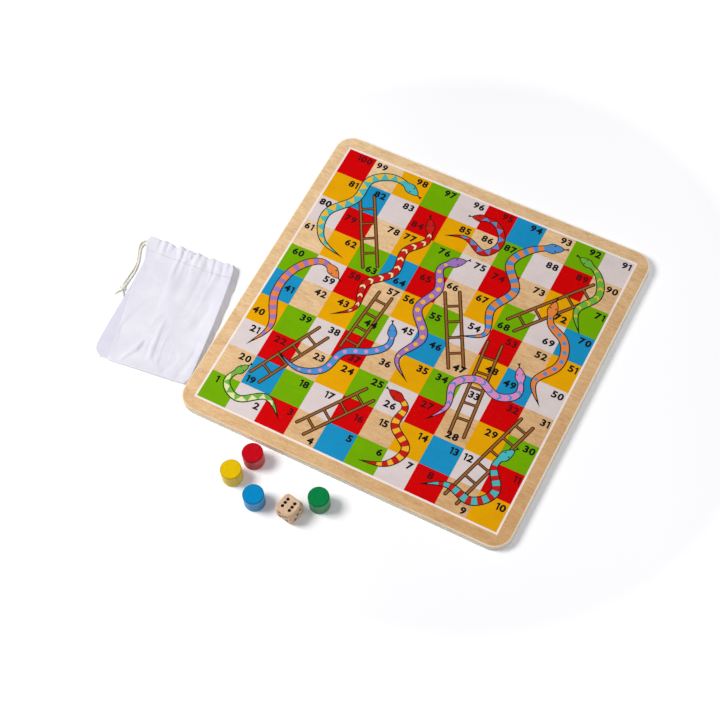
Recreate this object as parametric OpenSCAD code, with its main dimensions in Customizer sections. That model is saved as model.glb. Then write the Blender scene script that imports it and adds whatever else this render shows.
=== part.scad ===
// Snakes and ladders set: a plywood board printed with a field of coloured squares, ladders and
// snakes, with its wooden counters, its wooden die and the cotton drawstring bag that holds them.
// Sizes are in millimetres. The origin is the centre of the board's underside and Z points up.
// The squares run along +X in the bottom row and climb along +Y.

/* [Board] */
// Length of each side of the board
board_side = 300; // [240:5:400]
// Radius of the board's four corners
board_corner_r = 16; // [10:1:30]
// Width of bare wood around the printed field
border_w = 12.5; // [10:0.5:20]
// Rounding of the upper edge
top_ease_r = 1.2; // [0.4:0.1:1.4]
// Rounding of the lower edge
under_ease_r = 0.6; // [0.3:0.1:1.2]

/* [Plies] */
// Thickness of the printed face veneer
face_ply_t = 1.5; // [1.5:0.1:2.5]
// Thickness of each of the two crossbands
cross_ply_t = 1.5; // [1:0.1:2.5]
// Thickness of the core
core_ply_t = 1.5; // [1:0.1:3]
// Thickness of the back veneer
back_ply_t = 1.5; // [1.3:0.1:2.5]

/* [Print] */
// Thickness of one layer of ink
ink_t = 0.05; // [0.03:0.01:0.1]
// Bare wood left between two inks that meet
ink_gap = 0.04; // [0.02:0.01:0.2]
// Width of the pale line that frames the field
frame_line_w = 1.8; // [1:0.1:4]
// Width of the dark outline of ladders and snakes
outline_w = 0.8; // [0.3:0.1:0.9]

/* [Ladders] */
// Distance between a ladder's rails, centre to centre
rail_spacing = 12.5; // [8:0.5:14]
// Width of a rail with its outline
rail_w = 3.2; // [2.2:0.1:4]
// Width of a rung with its outline
rung_w = 2.6; // [2.2:0.1:3.5]
// Distance from one rung to the next
rung_step = 15; // [9:0.5:18]

/* [Snakes] */
// Width of a large snake's body with its outline
snake_w = 8.4; // [6:0.1:9]
// Length of a large snake's head
head_l = 15.5; // [10:0.5:18]
// Width of a large snake's head
head_w = 10.2; // [9:0.1:12]
// Distance along the body from one mark to the next
mark_step = 9; // [7:0.5:14]
// Length of one mark along the body
mark_l = 4.6; // [3:0.1:6]
// Diameter of a snake's eye
eye_d = 1.3; // [0.8:0.1:1.8]
// Length of a snake's forked tongue
tongue_l = 3.8; // [2:0.2:6]
// Width of the tongue's line
tongue_w = 0.9; // [0.4:0.1:1]

/* [Counters] */
// Diameter of a counter
counter_d = 17.5; // [12:0.5:20]
// Height of a counter
counter_h = 16; // [6:0.5:22]
// Rounding of a counter's rims
counter_ease_r = 0.7; // [0.2:0.1:1.5]

/* [Die] */
// Length of the die's sides
die_side = 16.5; // [12:0.5:20]
// Rounding of the die's edges
die_edge_r = 1.6; // [1:0.1:3]
// Diameter of the ball that takes the die's corners off
die_ball_d = 24; // [22:0.5:26]
// Diameter of a pip
pip_d = 2.8; // [1.6:0.1:3.2]
// Depth of a pip's hollow
pip_depth = 0.5; // [0.3:0.05:0.8]
// Thickness of the paint in a pip
pip_paint_t = 0.25; // [0.1:0.05:0.25]

/* [Bag] */
// Width of the bag laid flat
bag_w = 84; // [60:1:110]
// Length of the bag laid flat
bag_l = 118; // [90:1:160]
// Depth of the hem that the drawstring runs in
hem_depth = 12; // [8:0.5:18]
// Thickness of the lower panel with its seam
bag_back_t = 1.1; // [0.8:0.1:2]
// Height of the upper panel's edge above the lower panel
bag_front_edge_t = 2.2; // [0.6:0.1:3]
// Height that the upper panel swells above its edge
bag_crown = 1.8; // [0.5:0.1:5]
// Height of the gathers under the hem
pleat_h = 0.7; // [0.2:0.1:1.2]
// Thickness of the hem with its gathers flat
hem_t = 4.2; // [2:0.1:6]
// Turn of the bag on the table, in degrees
bag_turn = 4; // [0:1:20]
// Gap between the bag's foot corner and the board
bag_gap = 2; // [1:0.5:20]

/* [Drawstring] */
// Diameter of the drawstring
drawstring_d = 1.6; // [1:0.1:2]
// Diameter of the knot that ties its ends
knot_d = 5; // [4:0.1:6]

/* [Hidden] */

$fn = 64;

// Heights of the plies and of the layers of ink, each on the one below
core_z = back_ply_t + cross_ply_t;
face_z = core_z + core_ply_t + cross_ply_t;
board_t = face_z + face_ply_t;
ladder_outline_z = board_t + ink_t;
ladder_z = ladder_outline_z + ink_t;
snake_outline_z = ladder_z + ink_t;
snake_z = snake_outline_z + ink_t;
mark_z = snake_z + ink_t;

// The field has ten squares a side, and the frame line is centred on its edge
squares = 10;
field = board_side - 2 * border_w;
pitch = field / squares;
ink_edge = field / 2 - frame_line_w / 2;

// Ink of each square, top row first: N is bare wood
square_inks = [
    "RNYGWRBNGW",
    "YBWRYNGWRN",
    "WRNYGWRNYG",
    "NYGBRNYGWB",
    "GWRNYGWRNY",
    "BNYGWBNYBW",
    "YGWRNYGWRN",
    "WRNYGWRNYG",
    "NBGWRNYBWR",
    "GWRNBGWRNY"
];

// Ladders, foot to top, in squares from the field's bottom left corner
ladder_shares = [
    [[3.35, 0.45], [4.7, 2.35]],
    [[8.35, 0.4], [9.3, 3.55]],
    [[1.3, 1.35], [2.45, 3.6]],
    [[7.6, 2.3], [7.3, 5.55]],
    [[3.35, 3.4], [3.55, 5.6]],
    [[6.6, 4.3], [5.35, 6.6]],
    [[2.65, 6.3], [1.35, 8.6]],
    [[7.45, 6.35], [9.3, 8.6]]
];

// Snakes: body ink, mark ink, kind of mark, size beside the largest, and the route from the tail
// to the nose, in squares from the field's bottom left corner
snake_shares = [
    ["orange", "purple", "band", 0.95,
        [[0.5, 2.2], [0.95, 3.1], [0.4, 4.1], [0.5, 5.2], [1.2, 5.9], [1.95, 5.5]]],
    ["teal", "yellow", "zigzag", 1,
        [[1.75, 6.2], [0.75, 6.5], [0.4, 7.5], [1.15, 8.3], [1.1, 9.2], [1.9, 9.65], [2.8, 9.3]]],
    ["red", "cream", "chevron", 0.9,
        [[2.3, 4.25], [3.0, 4.8], [2.7, 5.7], [3.5, 6.4], [3.3, 7.3], [3.9, 7.9], [3.55, 8.7]]],
    ["purple", "yellow", "spot", 1,
        [[5.5, 3.2], [4.75, 3.8], [5.35, 4.8], [4.55, 5.6], [5.0, 6.5], [4.55, 7.25], [5.25, 7.8]]],
    ["blue", "orange", "band", 1,
        [[6.15, 5.3], [7.0, 5.7], [6.6, 6.6], [7.15, 7.5], [6.4, 8.3], [6.95, 9.15], [7.8, 9.5]]],
    ["red", "blue", "zigzag", 0.8,
        [[4.2, 8.35], [4.9, 8.6], [5.6, 8.2], [6.0, 8.85], [5.5, 9.5], [4.7, 9.35]]],
    ["green", "yellow", "chevron", 0.85,
        [[9.45, 6.95], [8.95, 7.7], [9.5, 8.4], [9.1, 9.2], [8.35, 9.45]]],
    ["orange", "blue", "spot", 0.95,
        [[9.4, 4.2], [8.8, 4.9], [9.4, 5.7], [9.2, 6.55], [8.45, 6.9], [8.35, 7.7]]],
    ["pink", "blue", "chevron", 0.9,
        [[6.5, 2.3], [7.0, 3.0], [6.7, 3.8], [7.4, 4.3], [8.1, 3.9], [8.75, 4.3], [8.3, 5.15]]],
    ["red", "yellow", "band", 0.9,
        [[5.35, 0.3], [6.2, 0.5], [6.55, 1.25], [5.75, 1.75], [5.9, 2.5], [5.15, 2.75]]],
    ["green", "cream", "zigzag", 0.8,
        [[2.65, 0.4], [1.95, 1.0], [1.2, 0.4], [0.5, 0.85], [0.95, 1.6]]],
    ["teal", "red", "band", 0.95,
        [[7.3, 0.4], [8.1, 0.8], [8.9, 0.5], [9.5, 1.15], [8.95, 1.9], [9.35, 2.6]]],
    ["blue", "pink", "spot", 0.85,
        [[1.45, 2.45], [2.3, 2.1], [3.1, 2.45], [3.25, 3.3], [4.0, 3.6], [4.5, 4.1], [4.2, 4.8]]]
];
// Stretches of a snake's route between two of its points
route_steps = 10;
// Length of a snake's tapering tail, beside its whole length
tail_share = 0.4;
// Width of a snake's neck, beside its body, and how far the body narrows, beside the head's length
neck_share = 0.72;
neck_run_share = 1.5;
// Half width of the body ink's tail at its very end, beside the outline's width
tail_tip_share = 0.2;
// Points along a snake's body and along its head
body_points = 46;
head_points = 9;
// Place of the head's widest part, beside its length from the back, and how much the snout narrows
jaw_share = 0.36;
snout_share = 0.32;
// Length of a zigzag's teeth beside the distance between marks
tooth_share = 0.9;
// Width of a zigzag, chevron or spot, beside the body
zigzag_share = 0.92;
chevron_share = 0.9;
spot_share = 0.62;
// Part of the tongue's length where it forks, and the turn of its two tips
fork_share = 0.55;
fork_turn = 28;
// Place of the eyes: back from the nose beside the head's length, and out beside its half width
eye_back_share = 0.5;
eye_out_share = 0.5;

// Places of the loose pieces, beside the board's side
counter_red_shares = [-0.2237, -0.549];
counter_yellow_shares = [-0.2521, -0.6177];
counter_blue_shares = [-0.1627, -0.6541];
counter_green_shares = [-0.0034, -0.5829];
die_shares = [-0.0623, -0.6397];
die_turn = -10;
bag_foot_share = -0.421;

// Spacing of a die's pips, beside the die
pip_share = 0.21;
pip_corner_places = [[-1, -1], [1, 1], [-1, 1], [1, -1]];
pip_places = [
    [[0, 0]],
    [[-1, -1], [1, 1]],
    [[-1, -1], [0, 0], [1, 1]],
    pip_corner_places,
    concat(pip_corner_places, [[0, 0]]),
    concat(pip_corner_places, [[-1, 0], [1, 0]])
];
// Turn that brings each face of the die to the top, for the faces of one to six pips
pip_turns = [[180, 0, 0], [-90, 0, 0], [90, 0, 90], [90, 0, -90], [90, 0, 0], [0, 0, 0]];

// The bag's edges, left and right, from its foot to its mouth: place along the bag, then across it
back_left_shares = [[0, -0.95], [0.03, -1.03], [0.08, -1.05], [0.3, -1.05], [0.6, -1.04], [0.8, -1.045],
    [0.9, -1.09], [0.96, -1.13], [1, -1.11]];
front_left_shares = [[0, -0.86], [0.25, -0.92], [0.47, -0.98], [0.62, -1.02], [0.8, -1.04], [0.9, -1.09]];
right_shares = [[0, -0.03], [0.05, 0.005], [0.25, -0.01], [0.5, -0.035], [0.7, -0.065], [0.9, -0.1],
    [0.97, -0.12], [1, -0.145]];
// Slant of the foot and of the mouth, left then right, along the bag
foot_y_shares = [-0.058, -0.03];
mouth_y_shares = [0.975, 0.958];
// Gathers across the mouth, and cells of the panels across and along
pleats = 8;
panel_cells = [32, 16];
hem_cells = [32, 4];

// Routes of the drawstring's two ends in the bag's own frame, from the hem to the knot
drawstring_inner_route = [[-91, 107, 1.6], [-95, 106.5, 1.4], [-96.4, 103, 1], [-95, 97, 0.9],
    [-92.5, 90, 0.9], [-91, 83, 0.9], [-90.6, 76, 0.9], [-91.2, 69, 0.9], [-92, 63, 1.4], [-92, 60, 2]];
drawstring_outer_route = [[-91, 110, 1.6], [-95.5, 110, 1.4], [-98.6, 107, 1], [-98.4, 102, 0.9],
    [-96, 95, 0.9], [-93.6, 88, 0.9], [-93, 80, 0.9], [-93.8, 72, 0.9], [-94, 65, 1.4], [-93.4, 60, 2]];
knot_place = [-92.6, 58.5];
cord_sides = 8;
cord_steps = 2;
// Start and end of the knot's two free tails beside the knot, their turns, and how they slope down
// to the table
knot_tail_shares = [0.3, 1.6];
knot_tail_turns = [-36, 36];
knot_tail_slope = asin((1 - drawstring_d / knot_d) / 2 / knot_tail_shares[1]);

// Overrun of a cut past the face that it starts from
cut_over = 0.1 * pip_depth;

// Plates with rounded corners and eased edges

// What a rounding of radius r takes off a corner that points up and outwards at [r, r]
module corner_cut(r) {
    difference() {
        square(2 * r);
        circle(r);
    }
}

// Half of a plate's cross-section, with its upper outer edge rounded
module eased_profile(half, t, ease) {
    difference() {
        square([half, t]);
        translate([half - ease, t - ease]) corner_cut(ease);
    }
}

// A square plate standing on z = 0, with its upper edge rounded all round
module eased_plate(side, corner, t, ease) {
    reach = side / 2 - corner;
    for (x = [-reach, reach], y = [-reach, reach])
        translate([x, y, 0]) rotate_extrude() eased_profile(corner, t, ease);
    for (turn = [0, 90])
        rotate([90, 0, turn])
            linear_extrude(2 * reach, center = true)
                for (flip = [0, 1])
                    mirror([flip, 0, 0]) eased_profile(side / 2, t, ease);
}

// A square plate with square edges
module plain_plate(side, corner, t) {
    reach = side / 2 - corner;
    for (x = [-reach, reach], y = [-reach, reach])
        translate([x, y, 0]) cylinder(t, r = corner);
    for (turn = [0, 90])
        rotate(turn) translate([-side / 2, -reach, 0]) cube([side, 2 * reach, t]);
}

module ply(z, t) {
    translate([0, 0, z]) plain_plate(board_side, board_corner_r, t);
}

module face_veneer() {
    color("#E6C594")
        translate([0, 0, face_z])
            eased_plate(board_side, board_corner_r, face_ply_t, top_ease_r);
}

module upper_crossband() { color("#D9C29A") ply(core_z + core_ply_t, cross_ply_t); }

module core_ply() { color("#E3D0AC") ply(core_z, core_ply_t); }

module lower_crossband() { color("#D9C29A") ply(back_ply_t, cross_ply_t); }

module back_veneer() {
    color("#DDC196")
        translate([0, 0, back_ply_t]) mirror([0, 0, 1])
            eased_plate(board_side, board_corner_r, back_ply_t, under_ease_r);
}

// Printed field

module frame_line() {
    color("#DCD6D4")
        translate([0, 0, board_t])
            linear_extrude(ink_t)
                difference() {
                    square(2 * ink_edge + 2 * frame_line_w, center = true);
                    square(2 * ink_edge, center = true);
                }
}

// Low or high side of a cell, drawn in by the gap between inks and by the frame line
function cell_low(i) = max(i * pitch - field / 2, -ink_edge) + ink_gap / 2;
function cell_high(i) = min((i + 1) * pitch - field / 2, ink_edge) - ink_gap / 2;

// The squares of one ink
module squares_of(ink) {
    for (row = [0:squares - 1], column = [0:squares - 1])
        if (square_inks[squares - 1 - row][column] == ink)
            translate([cell_low(column), cell_low(row), board_t])
                cube([cell_high(column) - cell_low(column), cell_high(row) - cell_low(row), ink_t]);
}

module squares_white() { color("#D9D3D3") squares_of("W"); }

module squares_red() { color("#D60106") squares_of("R"); }

module squares_yellow() { color("#E8A500") squares_of("Y"); }

module squares_green() { color("#69AA05") squares_of("G"); }

module squares_blue() { color("#258AC8") squares_of("B"); }

// A place given in squares, in the board's frame
function on_field(place) = [for (axis = place) axis * pitch - field / 2];

// Ladders

// A straight bar with round ends, drawn in all round by inset
module round_bar(from, to, w, inset) {
    along = to - from;
    radius = w / 2 - inset;
    translate(from) rotate(atan2(along.y, along.x)) {
        translate([0, -radius]) square([norm(along), 2 * radius]);
        circle(radius);
        translate([norm(along), 0]) circle(radius);
    }
}

// A straight bar with square ends
module square_bar(from, to, w, inset) {
    along = to - from;
    translate(from) rotate(atan2(along.y, along.x))
        translate([0, -(w / 2 - inset)]) square([norm(along), w - 2 * inset]);
}

// One ladder: two rails, and rungs between them that stop half a step from the rails' ends
module ladder(ends, inset) {
    foot = on_field(ends[0]);
    top = on_field(ends[1]);
    length = norm(top - foot);
    along = (top - foot) / length;
    across = [-along.y, along.x] * rail_spacing / 2;
    rungs = floor(length / rung_step);
    first = (length - (rungs - 1) * rung_step) / 2;
    for (side = [-1, 1])
        round_bar(foot + side * across, top + side * across, rail_w, inset);
    for (i = [0:rungs - 1]) {
        place = foot + along * (first + i * rung_step);
        square_bar(place - across, place + across, rung_w, inset);
    }
}

module ladder_outlines() {
    color("#3A1D0C")
        translate([0, 0, ladder_outline_z])
            for (ends = ladder_shares) linear_extrude(ink_t) ladder(ends, 0);
}

module ladders() {
    color("#A86A2C")
        translate([0, 0, ladder_z])
            for (ends = ladder_shares) linear_extrude(ink_t) ladder(ends, outline_w);
}

// Snakes

// A point of a smooth curve from b to c that passes through them, and of one that cuts their corners
function through(a, b, c, d, t) =
    (2 * b + (c - a) * t + (2 * a - 5 * b + 4 * c - d) * pow(t, 2)
        + (3 * b - a - 3 * c + d) * pow(t, 3)) / 2;
function near(a, b, c, d, t) =
    (a + 4 * b + c + (c - a) * 3 * t + (a - 2 * b + c) * 3 * pow(t, 2)
        + (d - a + 3 * b - 3 * c) * pow(t, 3)) / 6;

// The curve half way between the two, which has the roundest turns
function curve(a, b, c, d, t) = (through(a, b, c, d, t) + near(a, b, c, d, t)) / 2;

// The smooth route through a list of points, with steps stretches between two of them
function smooth(points, steps) =
    let (last = len(points) - 1)
    [
        for (i = [0:last - 1])
            let (
                before = i == 0 ? 2 * points[0] - points[1] : points[i - 1],
                after = i + 1 == last ? 2 * points[last] - points[last - 1] : points[i + 2]
            )
            for (k = [0:steps - 1])
                curve(before, points[i], points[i + 1], after, k / steps),
        points[last]
    ];

// Distance from the start of a route to each of its points
function distances(route) =
    [for (i = 0, s = 0; i < len(route);
        s = s + (i + 1 < len(route) ? norm(route[i + 1] - route[i]) : 0), i = i + 1) s];

// Tables that give X and Y at a distance along a route
function track(route) =
    let (s = distances(route))
    [
        [for (i = [0:len(route) - 1]) [s[i], route[i].x]],
        [for (i = [0:len(route) - 1]) [s[i], route[i].y]],
        s[len(s) - 1]
    ];
function track_of(snake) = track(smooth([for (place = snake[4]) on_field(place)], route_steps));
function place_at(line, s) = [lookup(s, line[0]), lookup(s, line[1])];

// A point beside a route: out to its left at a distance along it
function beside(line, s, out) =
    let (
        reach = line[2] / body_points / 2,
        from = place_at(line, max(s - reach, 0)),
        to = place_at(line, min(s + reach, line[2])),
        along = (to - from) / norm(to - from)
    )
    place_at(line, s) + [-along.y, along.x] * out;

// Half width of a snake at a distance along it, drawn in all round by inset. The tail tapers to
// nothing, the body narrows to a neck, and the head widens to its jaws and ends in a round snout.
function ramp(t) = let (c = min(max(t, 0), 1)) c * c * (3 - 2 * c);
function body_half(s, length, size, inset) =
    let (
        to_nose = length - s,
        tail = sin(90 * min(1, s / (tail_share * length))),
        run = (to_nose / (size * head_l) - 1) / neck_run_share,
        neck = neck_share + (1 - neck_share) * ramp(run)
    )
    size * snake_w / 2 * tail * neck - inset;
function head_half(s, length, size, inset) =
    let (
        past_jaw = s - (length - (1 - jaw_share) * size * head_l),
        snout = past_jaw / ((1 - jaw_share) * size * head_l - inset),
        back = -past_jaw / (jaw_share * size * head_l),
        t = past_jaw > 0 ? snout : back,
        narrowing = past_jaw > 0 ? 1 - snout_share * snout : 1
    )
    t >= 1 ? 0 : (size * head_w / 2 - inset) * narrowing * sqrt(1 - t * t);
function snake_half(s, length, size, inset) =
    length - s < (1 - jaw_share) * size * head_l
        ? head_half(s, length, size, inset)
        : max(body_half(s, length, size, inset), head_half(s, length, size, inset));

// Distances along a snake at which its outline has points: even on the body, close at the nose
function stations(length, size, inset) =
    let (
        tip = 2 * (1 + tail_tip_share) * inset / (size * snake_w),
        tail = tail_share * length * asin(tip) / 90,
        head = length - size * head_l,
        nose = length - inset
    )
    [
        for (i = [0:body_points - 1]) tail + (head - tail) * i / body_points,
        for (i = [0:head_points]) head + (nose - head) * sin(90 * i / head_points)
    ];

// The outline of one snake
module snake_shape(snake, inset) {
    line = track_of(snake);
    length = line[2];
    size = snake[3];
    stops = stations(length, size, inset);
    last = len(stops) - 1;
    half = [for (s = stops) snake_half(s, length, size, inset)];
    polygon([
        for (i = [0:last]) if (half[i] > 0 || i == last) beside(line, stops[i], half[i]),
        for (i = [last - 1:-1:0]) beside(line, stops[i], -half[i])
    ]);
}

// The forked tongue in front of a snake's nose
module tongue(snake) {
    line = track_of(snake);
    length = snake[3] * tongue_l;
    nose = place_at(line, line[2]);
    before = place_at(line, line[2] - length);
    ahead = (nose - before) / norm(nose - before);
    turn = atan2(ahead.y, ahead.x);
    fork = nose + ahead * fork_share * length;
    tip_l = (1 - fork_share) * length;
    round_bar(nose - ahead * tongue_w, fork, tongue_w, 0);
    for (side = [-1, 1])
        let (aim = turn + side * fork_turn)
            round_bar(fork, fork + tip_l * [cos(aim), sin(aim)], tongue_w, 0);
}

// One mark on a snake, centred at a distance along it
module mark(kind, line, s, size) {
    length = line[2];
    reach = size * mark_l / 2;
    function half(s) = body_half(s, length, size, outline_w);
    if (kind == "band")
        polygon([
            for (step = [-1, 0, 1]) beside(line, s + step * reach, half(s + step * reach)),
            for (step = [1, 0, -1]) beside(line, s + step * reach, -half(s + step * reach))
        ]);
    if (kind == "zigzag")
        let (base = tooth_share * mark_step / 2)
            polygon([
                beside(line, s - base, zigzag_share * half(s - base)),
                beside(line, s, zigzag_share * half(s)),
                beside(line, s + base, zigzag_share * half(s + base)),
                beside(line, s, -zigzag_share * half(s))
            ]);
    if (kind == "chevron")
        polygon([
            beside(line, s - reach, chevron_share * half(s - reach)),
            beside(line, s, 0),
            beside(line, s - reach, -chevron_share * half(s - reach)),
            beside(line, s, -chevron_share * half(s)),
            beside(line, s + reach, 0),
            beside(line, s, chevron_share * half(s))
        ]);
    if (kind == "spot")
        translate(place_at(line, s)) circle(spot_share * half(s));
}

// All the marks of one snake, from where its body is wide enough to its neck
module marks_on(snake) {
    line = track_of(snake);
    size = snake[3];
    first = 2 * mark_step;
    count = floor((line[2] - first - size * head_l) / mark_step);
    for (i = [0:count])
        mark(snake[2], line, first + i * mark_step, size);
}

module snake_outlines() {
    color("#2A1712")
        translate([0, 0, snake_outline_z])
            for (snake = snake_shares)
                linear_extrude(ink_t) {
                    snake_shape(snake, 0);
                    tongue(snake);
                }
}

// The bodies of the snakes of one ink
module snakes_of(ink) {
    translate([0, 0, snake_z])
        for (snake = snake_shares)
            if (snake[0] == ink) linear_extrude(ink_t) snake_shape(snake, outline_w);
}

// The marks of one ink
module marks_of(ink) {
    translate([0, 0, mark_z])
        for (snake = snake_shares)
            if (snake[1] == ink) linear_extrude(ink_t) marks_on(snake);
}

module snakes_red() { color("#C4221C") snakes_of("red"); }

module snakes_orange() { color("#E5803A") snakes_of("orange"); }

module snakes_green() { color("#6DB33F") snakes_of("green"); }

module snakes_teal() { color("#45B5B8") snakes_of("teal"); }

module snakes_blue() { color("#4E8FD0") snakes_of("blue"); }

module snakes_purple() { color("#9A6FB5") snakes_of("purple"); }

module snakes_pink() { color("#D98BC0") snakes_of("pink"); }

module marks_yellow() { color("#F0B828") marks_of("yellow"); }

module marks_blue() { color("#4E8FD0") marks_of("blue"); }

module marks_cream() { color("#E6E2A8") marks_of("cream"); }

module marks_purple() { color("#A783C4") marks_of("purple"); }

module marks_orange() { color("#E5803A") marks_of("orange"); }

module marks_red() { color("#C22A3A") marks_of("red"); }

module marks_pink() { color("#E2A0C8") marks_of("pink"); }

module snake_eyes() {
    color("#1E1512")
        translate([0, 0, mark_z])
            for (snake = snake_shares)
                let (
                    line = track_of(snake),
                    size = snake[3],
                    s = line[2] - eye_back_share * size * head_l
                )
                for (side = [-1, 1])
                    translate(beside(line, s, side * eye_out_share * size * head_w / 2))
                        cylinder(ink_t, d = size * eye_d);
}

// Counters

module counter(shares) {
    translate([for (share = shares) share * board_side])
        rotate_extrude()
            difference() {
                square([counter_d / 2, counter_h]);
                translate([counter_d / 2 - counter_ease_r, counter_h - counter_ease_r])
                    corner_cut(counter_ease_r);
                translate([counter_d / 2 - counter_ease_r, counter_ease_r])
                    mirror([0, 1]) corner_cut(counter_ease_r);
            }
}

module counter_red() { color("#CC0514") counter(counter_red_shares); }

module counter_yellow() { color("#EBC001") counter(counter_yellow_shares); }

module counter_blue() { color("#028BC9") counter(counter_blue_shares); }

module counter_green() { color("#028543") counter(counter_green_shares); }

// Die

module at_die() {
    translate([die_shares.x * board_side, die_shares.y * board_side, die_side / 2])
        rotate(die_turn) children();
}

// A square with rounded corners
module round_square(side, r) {
    reach = side / 2 - r;
    square([side, 2 * reach], center = true);
    square([2 * reach, side], center = true);
    for (x = [-reach, reach], y = [-reach, reach]) translate([x, y]) circle(r);
}

// The pips of every face, as cylinders from a depth below the face up to a height above it
module pips(depth, rise) {
    for (face = [0:5])
        rotate(pip_turns[face])
            for (place = pip_places[face])
                translate([place.x * pip_share * die_side, place.y * pip_share * die_side,
                    die_side / 2 - depth])
                    cylinder(depth + rise, d = pip_d);
}

module die() {
    color("#DDBB98")
        at_die() difference() {
            intersection() {
                linear_extrude(die_side, center = true) round_square(die_side, die_edge_r);
                rotate([90, 0, 0]) linear_extrude(die_side, center = true)
                    round_square(die_side, die_edge_r);
                rotate([0, 90, 0]) linear_extrude(die_side, center = true)
                    round_square(die_side, die_edge_r);
                sphere(d = die_ball_d);
            }
            pips(pip_depth, cut_over);
        }
}

module die_pips() {
    color("#17120F") at_die() pips(pip_depth, pip_paint_t - pip_depth);
}

// Bag

module at_bag() {
    translate([-board_side / 2 - bag_gap, bag_foot_share * board_side, 0])
        rotate(bag_turn) children();
}

// A place on a panel: u across from left to right, v along from foot to mouth
function panel_place(u, v, left_shares) =
    let (
        left = lookup(v, left_shares),
        right = lookup(v, right_shares),
        low = foot_y_shares[0] * (1 - v) + mouth_y_shares[0] * v,
        high = foot_y_shares[1] * (1 - v) + mouth_y_shares[1] * v
    )
    [bag_w * (left + (right - left) * u), bag_l * (low + (high - low) * u)];

// Share of the bag's length where the hem starts
hem_start = 1 - hem_depth / bag_l;

// Height of the gathers, which fade away from the mouth
function gather(u, v) = pleat_h * sin(360 * pleats * u) * pow(v / hem_start, 3);

// Heights of the upper panel and of the hem
function front_height(u, v) =
    let (across = 1 - pow(2 * u - 1, 4), along = sin(20 + 120 * v / hem_start))
    bag_back_t + bag_front_edge_t + across * (bag_crown * along + gather(u, v));
function hem_height(u, v) =
    let (w = (v - hem_start) / (1 - hem_start), across = 1 - pow(2 * u - 1, 6))
    hem_t * (0.6 + 0.4 * across) * (1 - 0.5 * pow(w, 4)) + across * gather(u, hem_start) * (1 - w);

// A closed cloth solid on a flat underside: a grid of cells over the panel, its sides and its base
module cloth_solid(cells, v_range, left_shares, base, height) {
    nu = cells[0];
    nv = cells[1];
    top = [
        for (j = [0:nv], i = [0:nu])
            let (u = i / nu, v = v_range[0] + (v_range[1] - v_range[0]) * j / nv)
            concat(panel_place(u, v, left_shares), height(u, v))
    ];
    under = [for (point = top) [point.x, point.y, base]];
    count = len(top);
    function below(i, j) = count + j * (nu + 1) + i;
    rim = [
        for (i = [0:nu - 1]) i,
        for (j = [0:nv - 1]) j * (nu + 1) + nu,
        for (i = [nu:-1:1]) nv * (nu + 1) + i,
        for (j = [nv:-1:1]) j * (nu + 1)
    ];
    polyhedron(
        concat(top, under),
        [
            for (j = [0:nv - 1], i = [0:nu - 1])
                let (a = j * (nu + 1) + i, b = a + nu + 1)
                each [[a, b, b + 1], [a, b + 1, a + 1]],
            for (k = [0:len(rim) - 1])
                let (a = rim[k], b = rim[(k + 1) % len(rim)])
                each [[a, b, b + count], [a, b + count, a + count]],
            for (i = [0:nu - 1]) [below(i, 0), below(i + 1, 0), below(0, 1)],
            [below(nu, 0), below(nu, 1), below(0, 1)],
            for (j = [1:nv - 2])
                each [
                    [below(0, j), below(nu, j), below(nu, j + 1)],
                    [below(0, j), below(nu, j + 1), below(0, j + 1)]
                ],
            [below(0, nv - 1), below(nu, nv - 1), below(nu, nv)],
            for (i = [0:nu - 1]) [below(0, nv - 1), below(i + 1, nv), below(i, nv)]
        ]
    );
}

module bag_back_panel() {
    color("#E1DBE9")
        at_bag()
            linear_extrude(bag_back_t)
                let (nv = panel_cells[1])
                    polygon([
                        for (j = [0:nv]) panel_place(0, hem_start * j / nv, back_left_shares),
                        for (j = [nv:-1:0]) panel_place(1, hem_start * j / nv, back_left_shares)
                    ]);
}

module bag_front_panel() {
    color("#EDEDF7")
        at_bag()
            cloth_solid(panel_cells, [0, hem_start], front_left_shares, bag_back_t,
                function(u, v) front_height(u, v));
}

module bag_hem() {
    color("#E9E8F3")
        at_bag()
            cloth_solid(hem_cells, [hem_start, 1], back_left_shares, 0, function(u, v) hem_height(u, v));
}

// Drawstring

// A round tube along a route that lies on the table, closed at both ends
module cord(points, d) {
    route = smooth(points, cord_steps);
    last = len(route) - 1;
    rings = [
        for (i = [0:last])
            let (
                along = route[min(i + 1, last)] - route[max(i - 1, 0)],
                side = cross(along, [0, 0, 1]) / norm(cross(along, [0, 0, 1])),
                up = cross(side, along) / norm(along)
            )
            for (k = [0:cord_sides - 1])
                let (turn = 360 * k / cord_sides)
                route[i] + (side * cos(turn) + up * sin(turn)) * d / 2
    ];
    polyhedron(
        rings,
        [
            [for (k = [cord_sides - 1:-1:0]) k],
            for (i = [0:last - 1], k = [0:cord_sides - 1])
                let (
                    a = i * cord_sides + k,
                    b = i * cord_sides + (k + 1) % cord_sides
                )
                each [[a, b, b + cord_sides], [a, b + cord_sides, a + cord_sides]],
            [for (k = [0:cord_sides - 1]) last * cord_sides + k]
        ]
    );
}

module drawstring_end_inner() { color("#E8E0C8") at_bag() cord(drawstring_inner_route, drawstring_d); }

module drawstring_end_outer() { color("#E8E0C8") at_bag() cord(drawstring_outer_route, drawstring_d); }

module drawstring_knot() {
    color("#E8E0C8")
        at_bag() translate([knot_place.x, knot_place.y, knot_d / 2]) {
            sphere(d = knot_d);
            for (turn = knot_tail_turns)
                rotate([90 + knot_tail_slope, 0, turn])
                    translate([0, 0, knot_tail_shares[0] * knot_d])
                        cylinder((knot_tail_shares[1] - knot_tail_shares[0]) * knot_d,
                            d = drawstring_d);
        }
}

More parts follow.
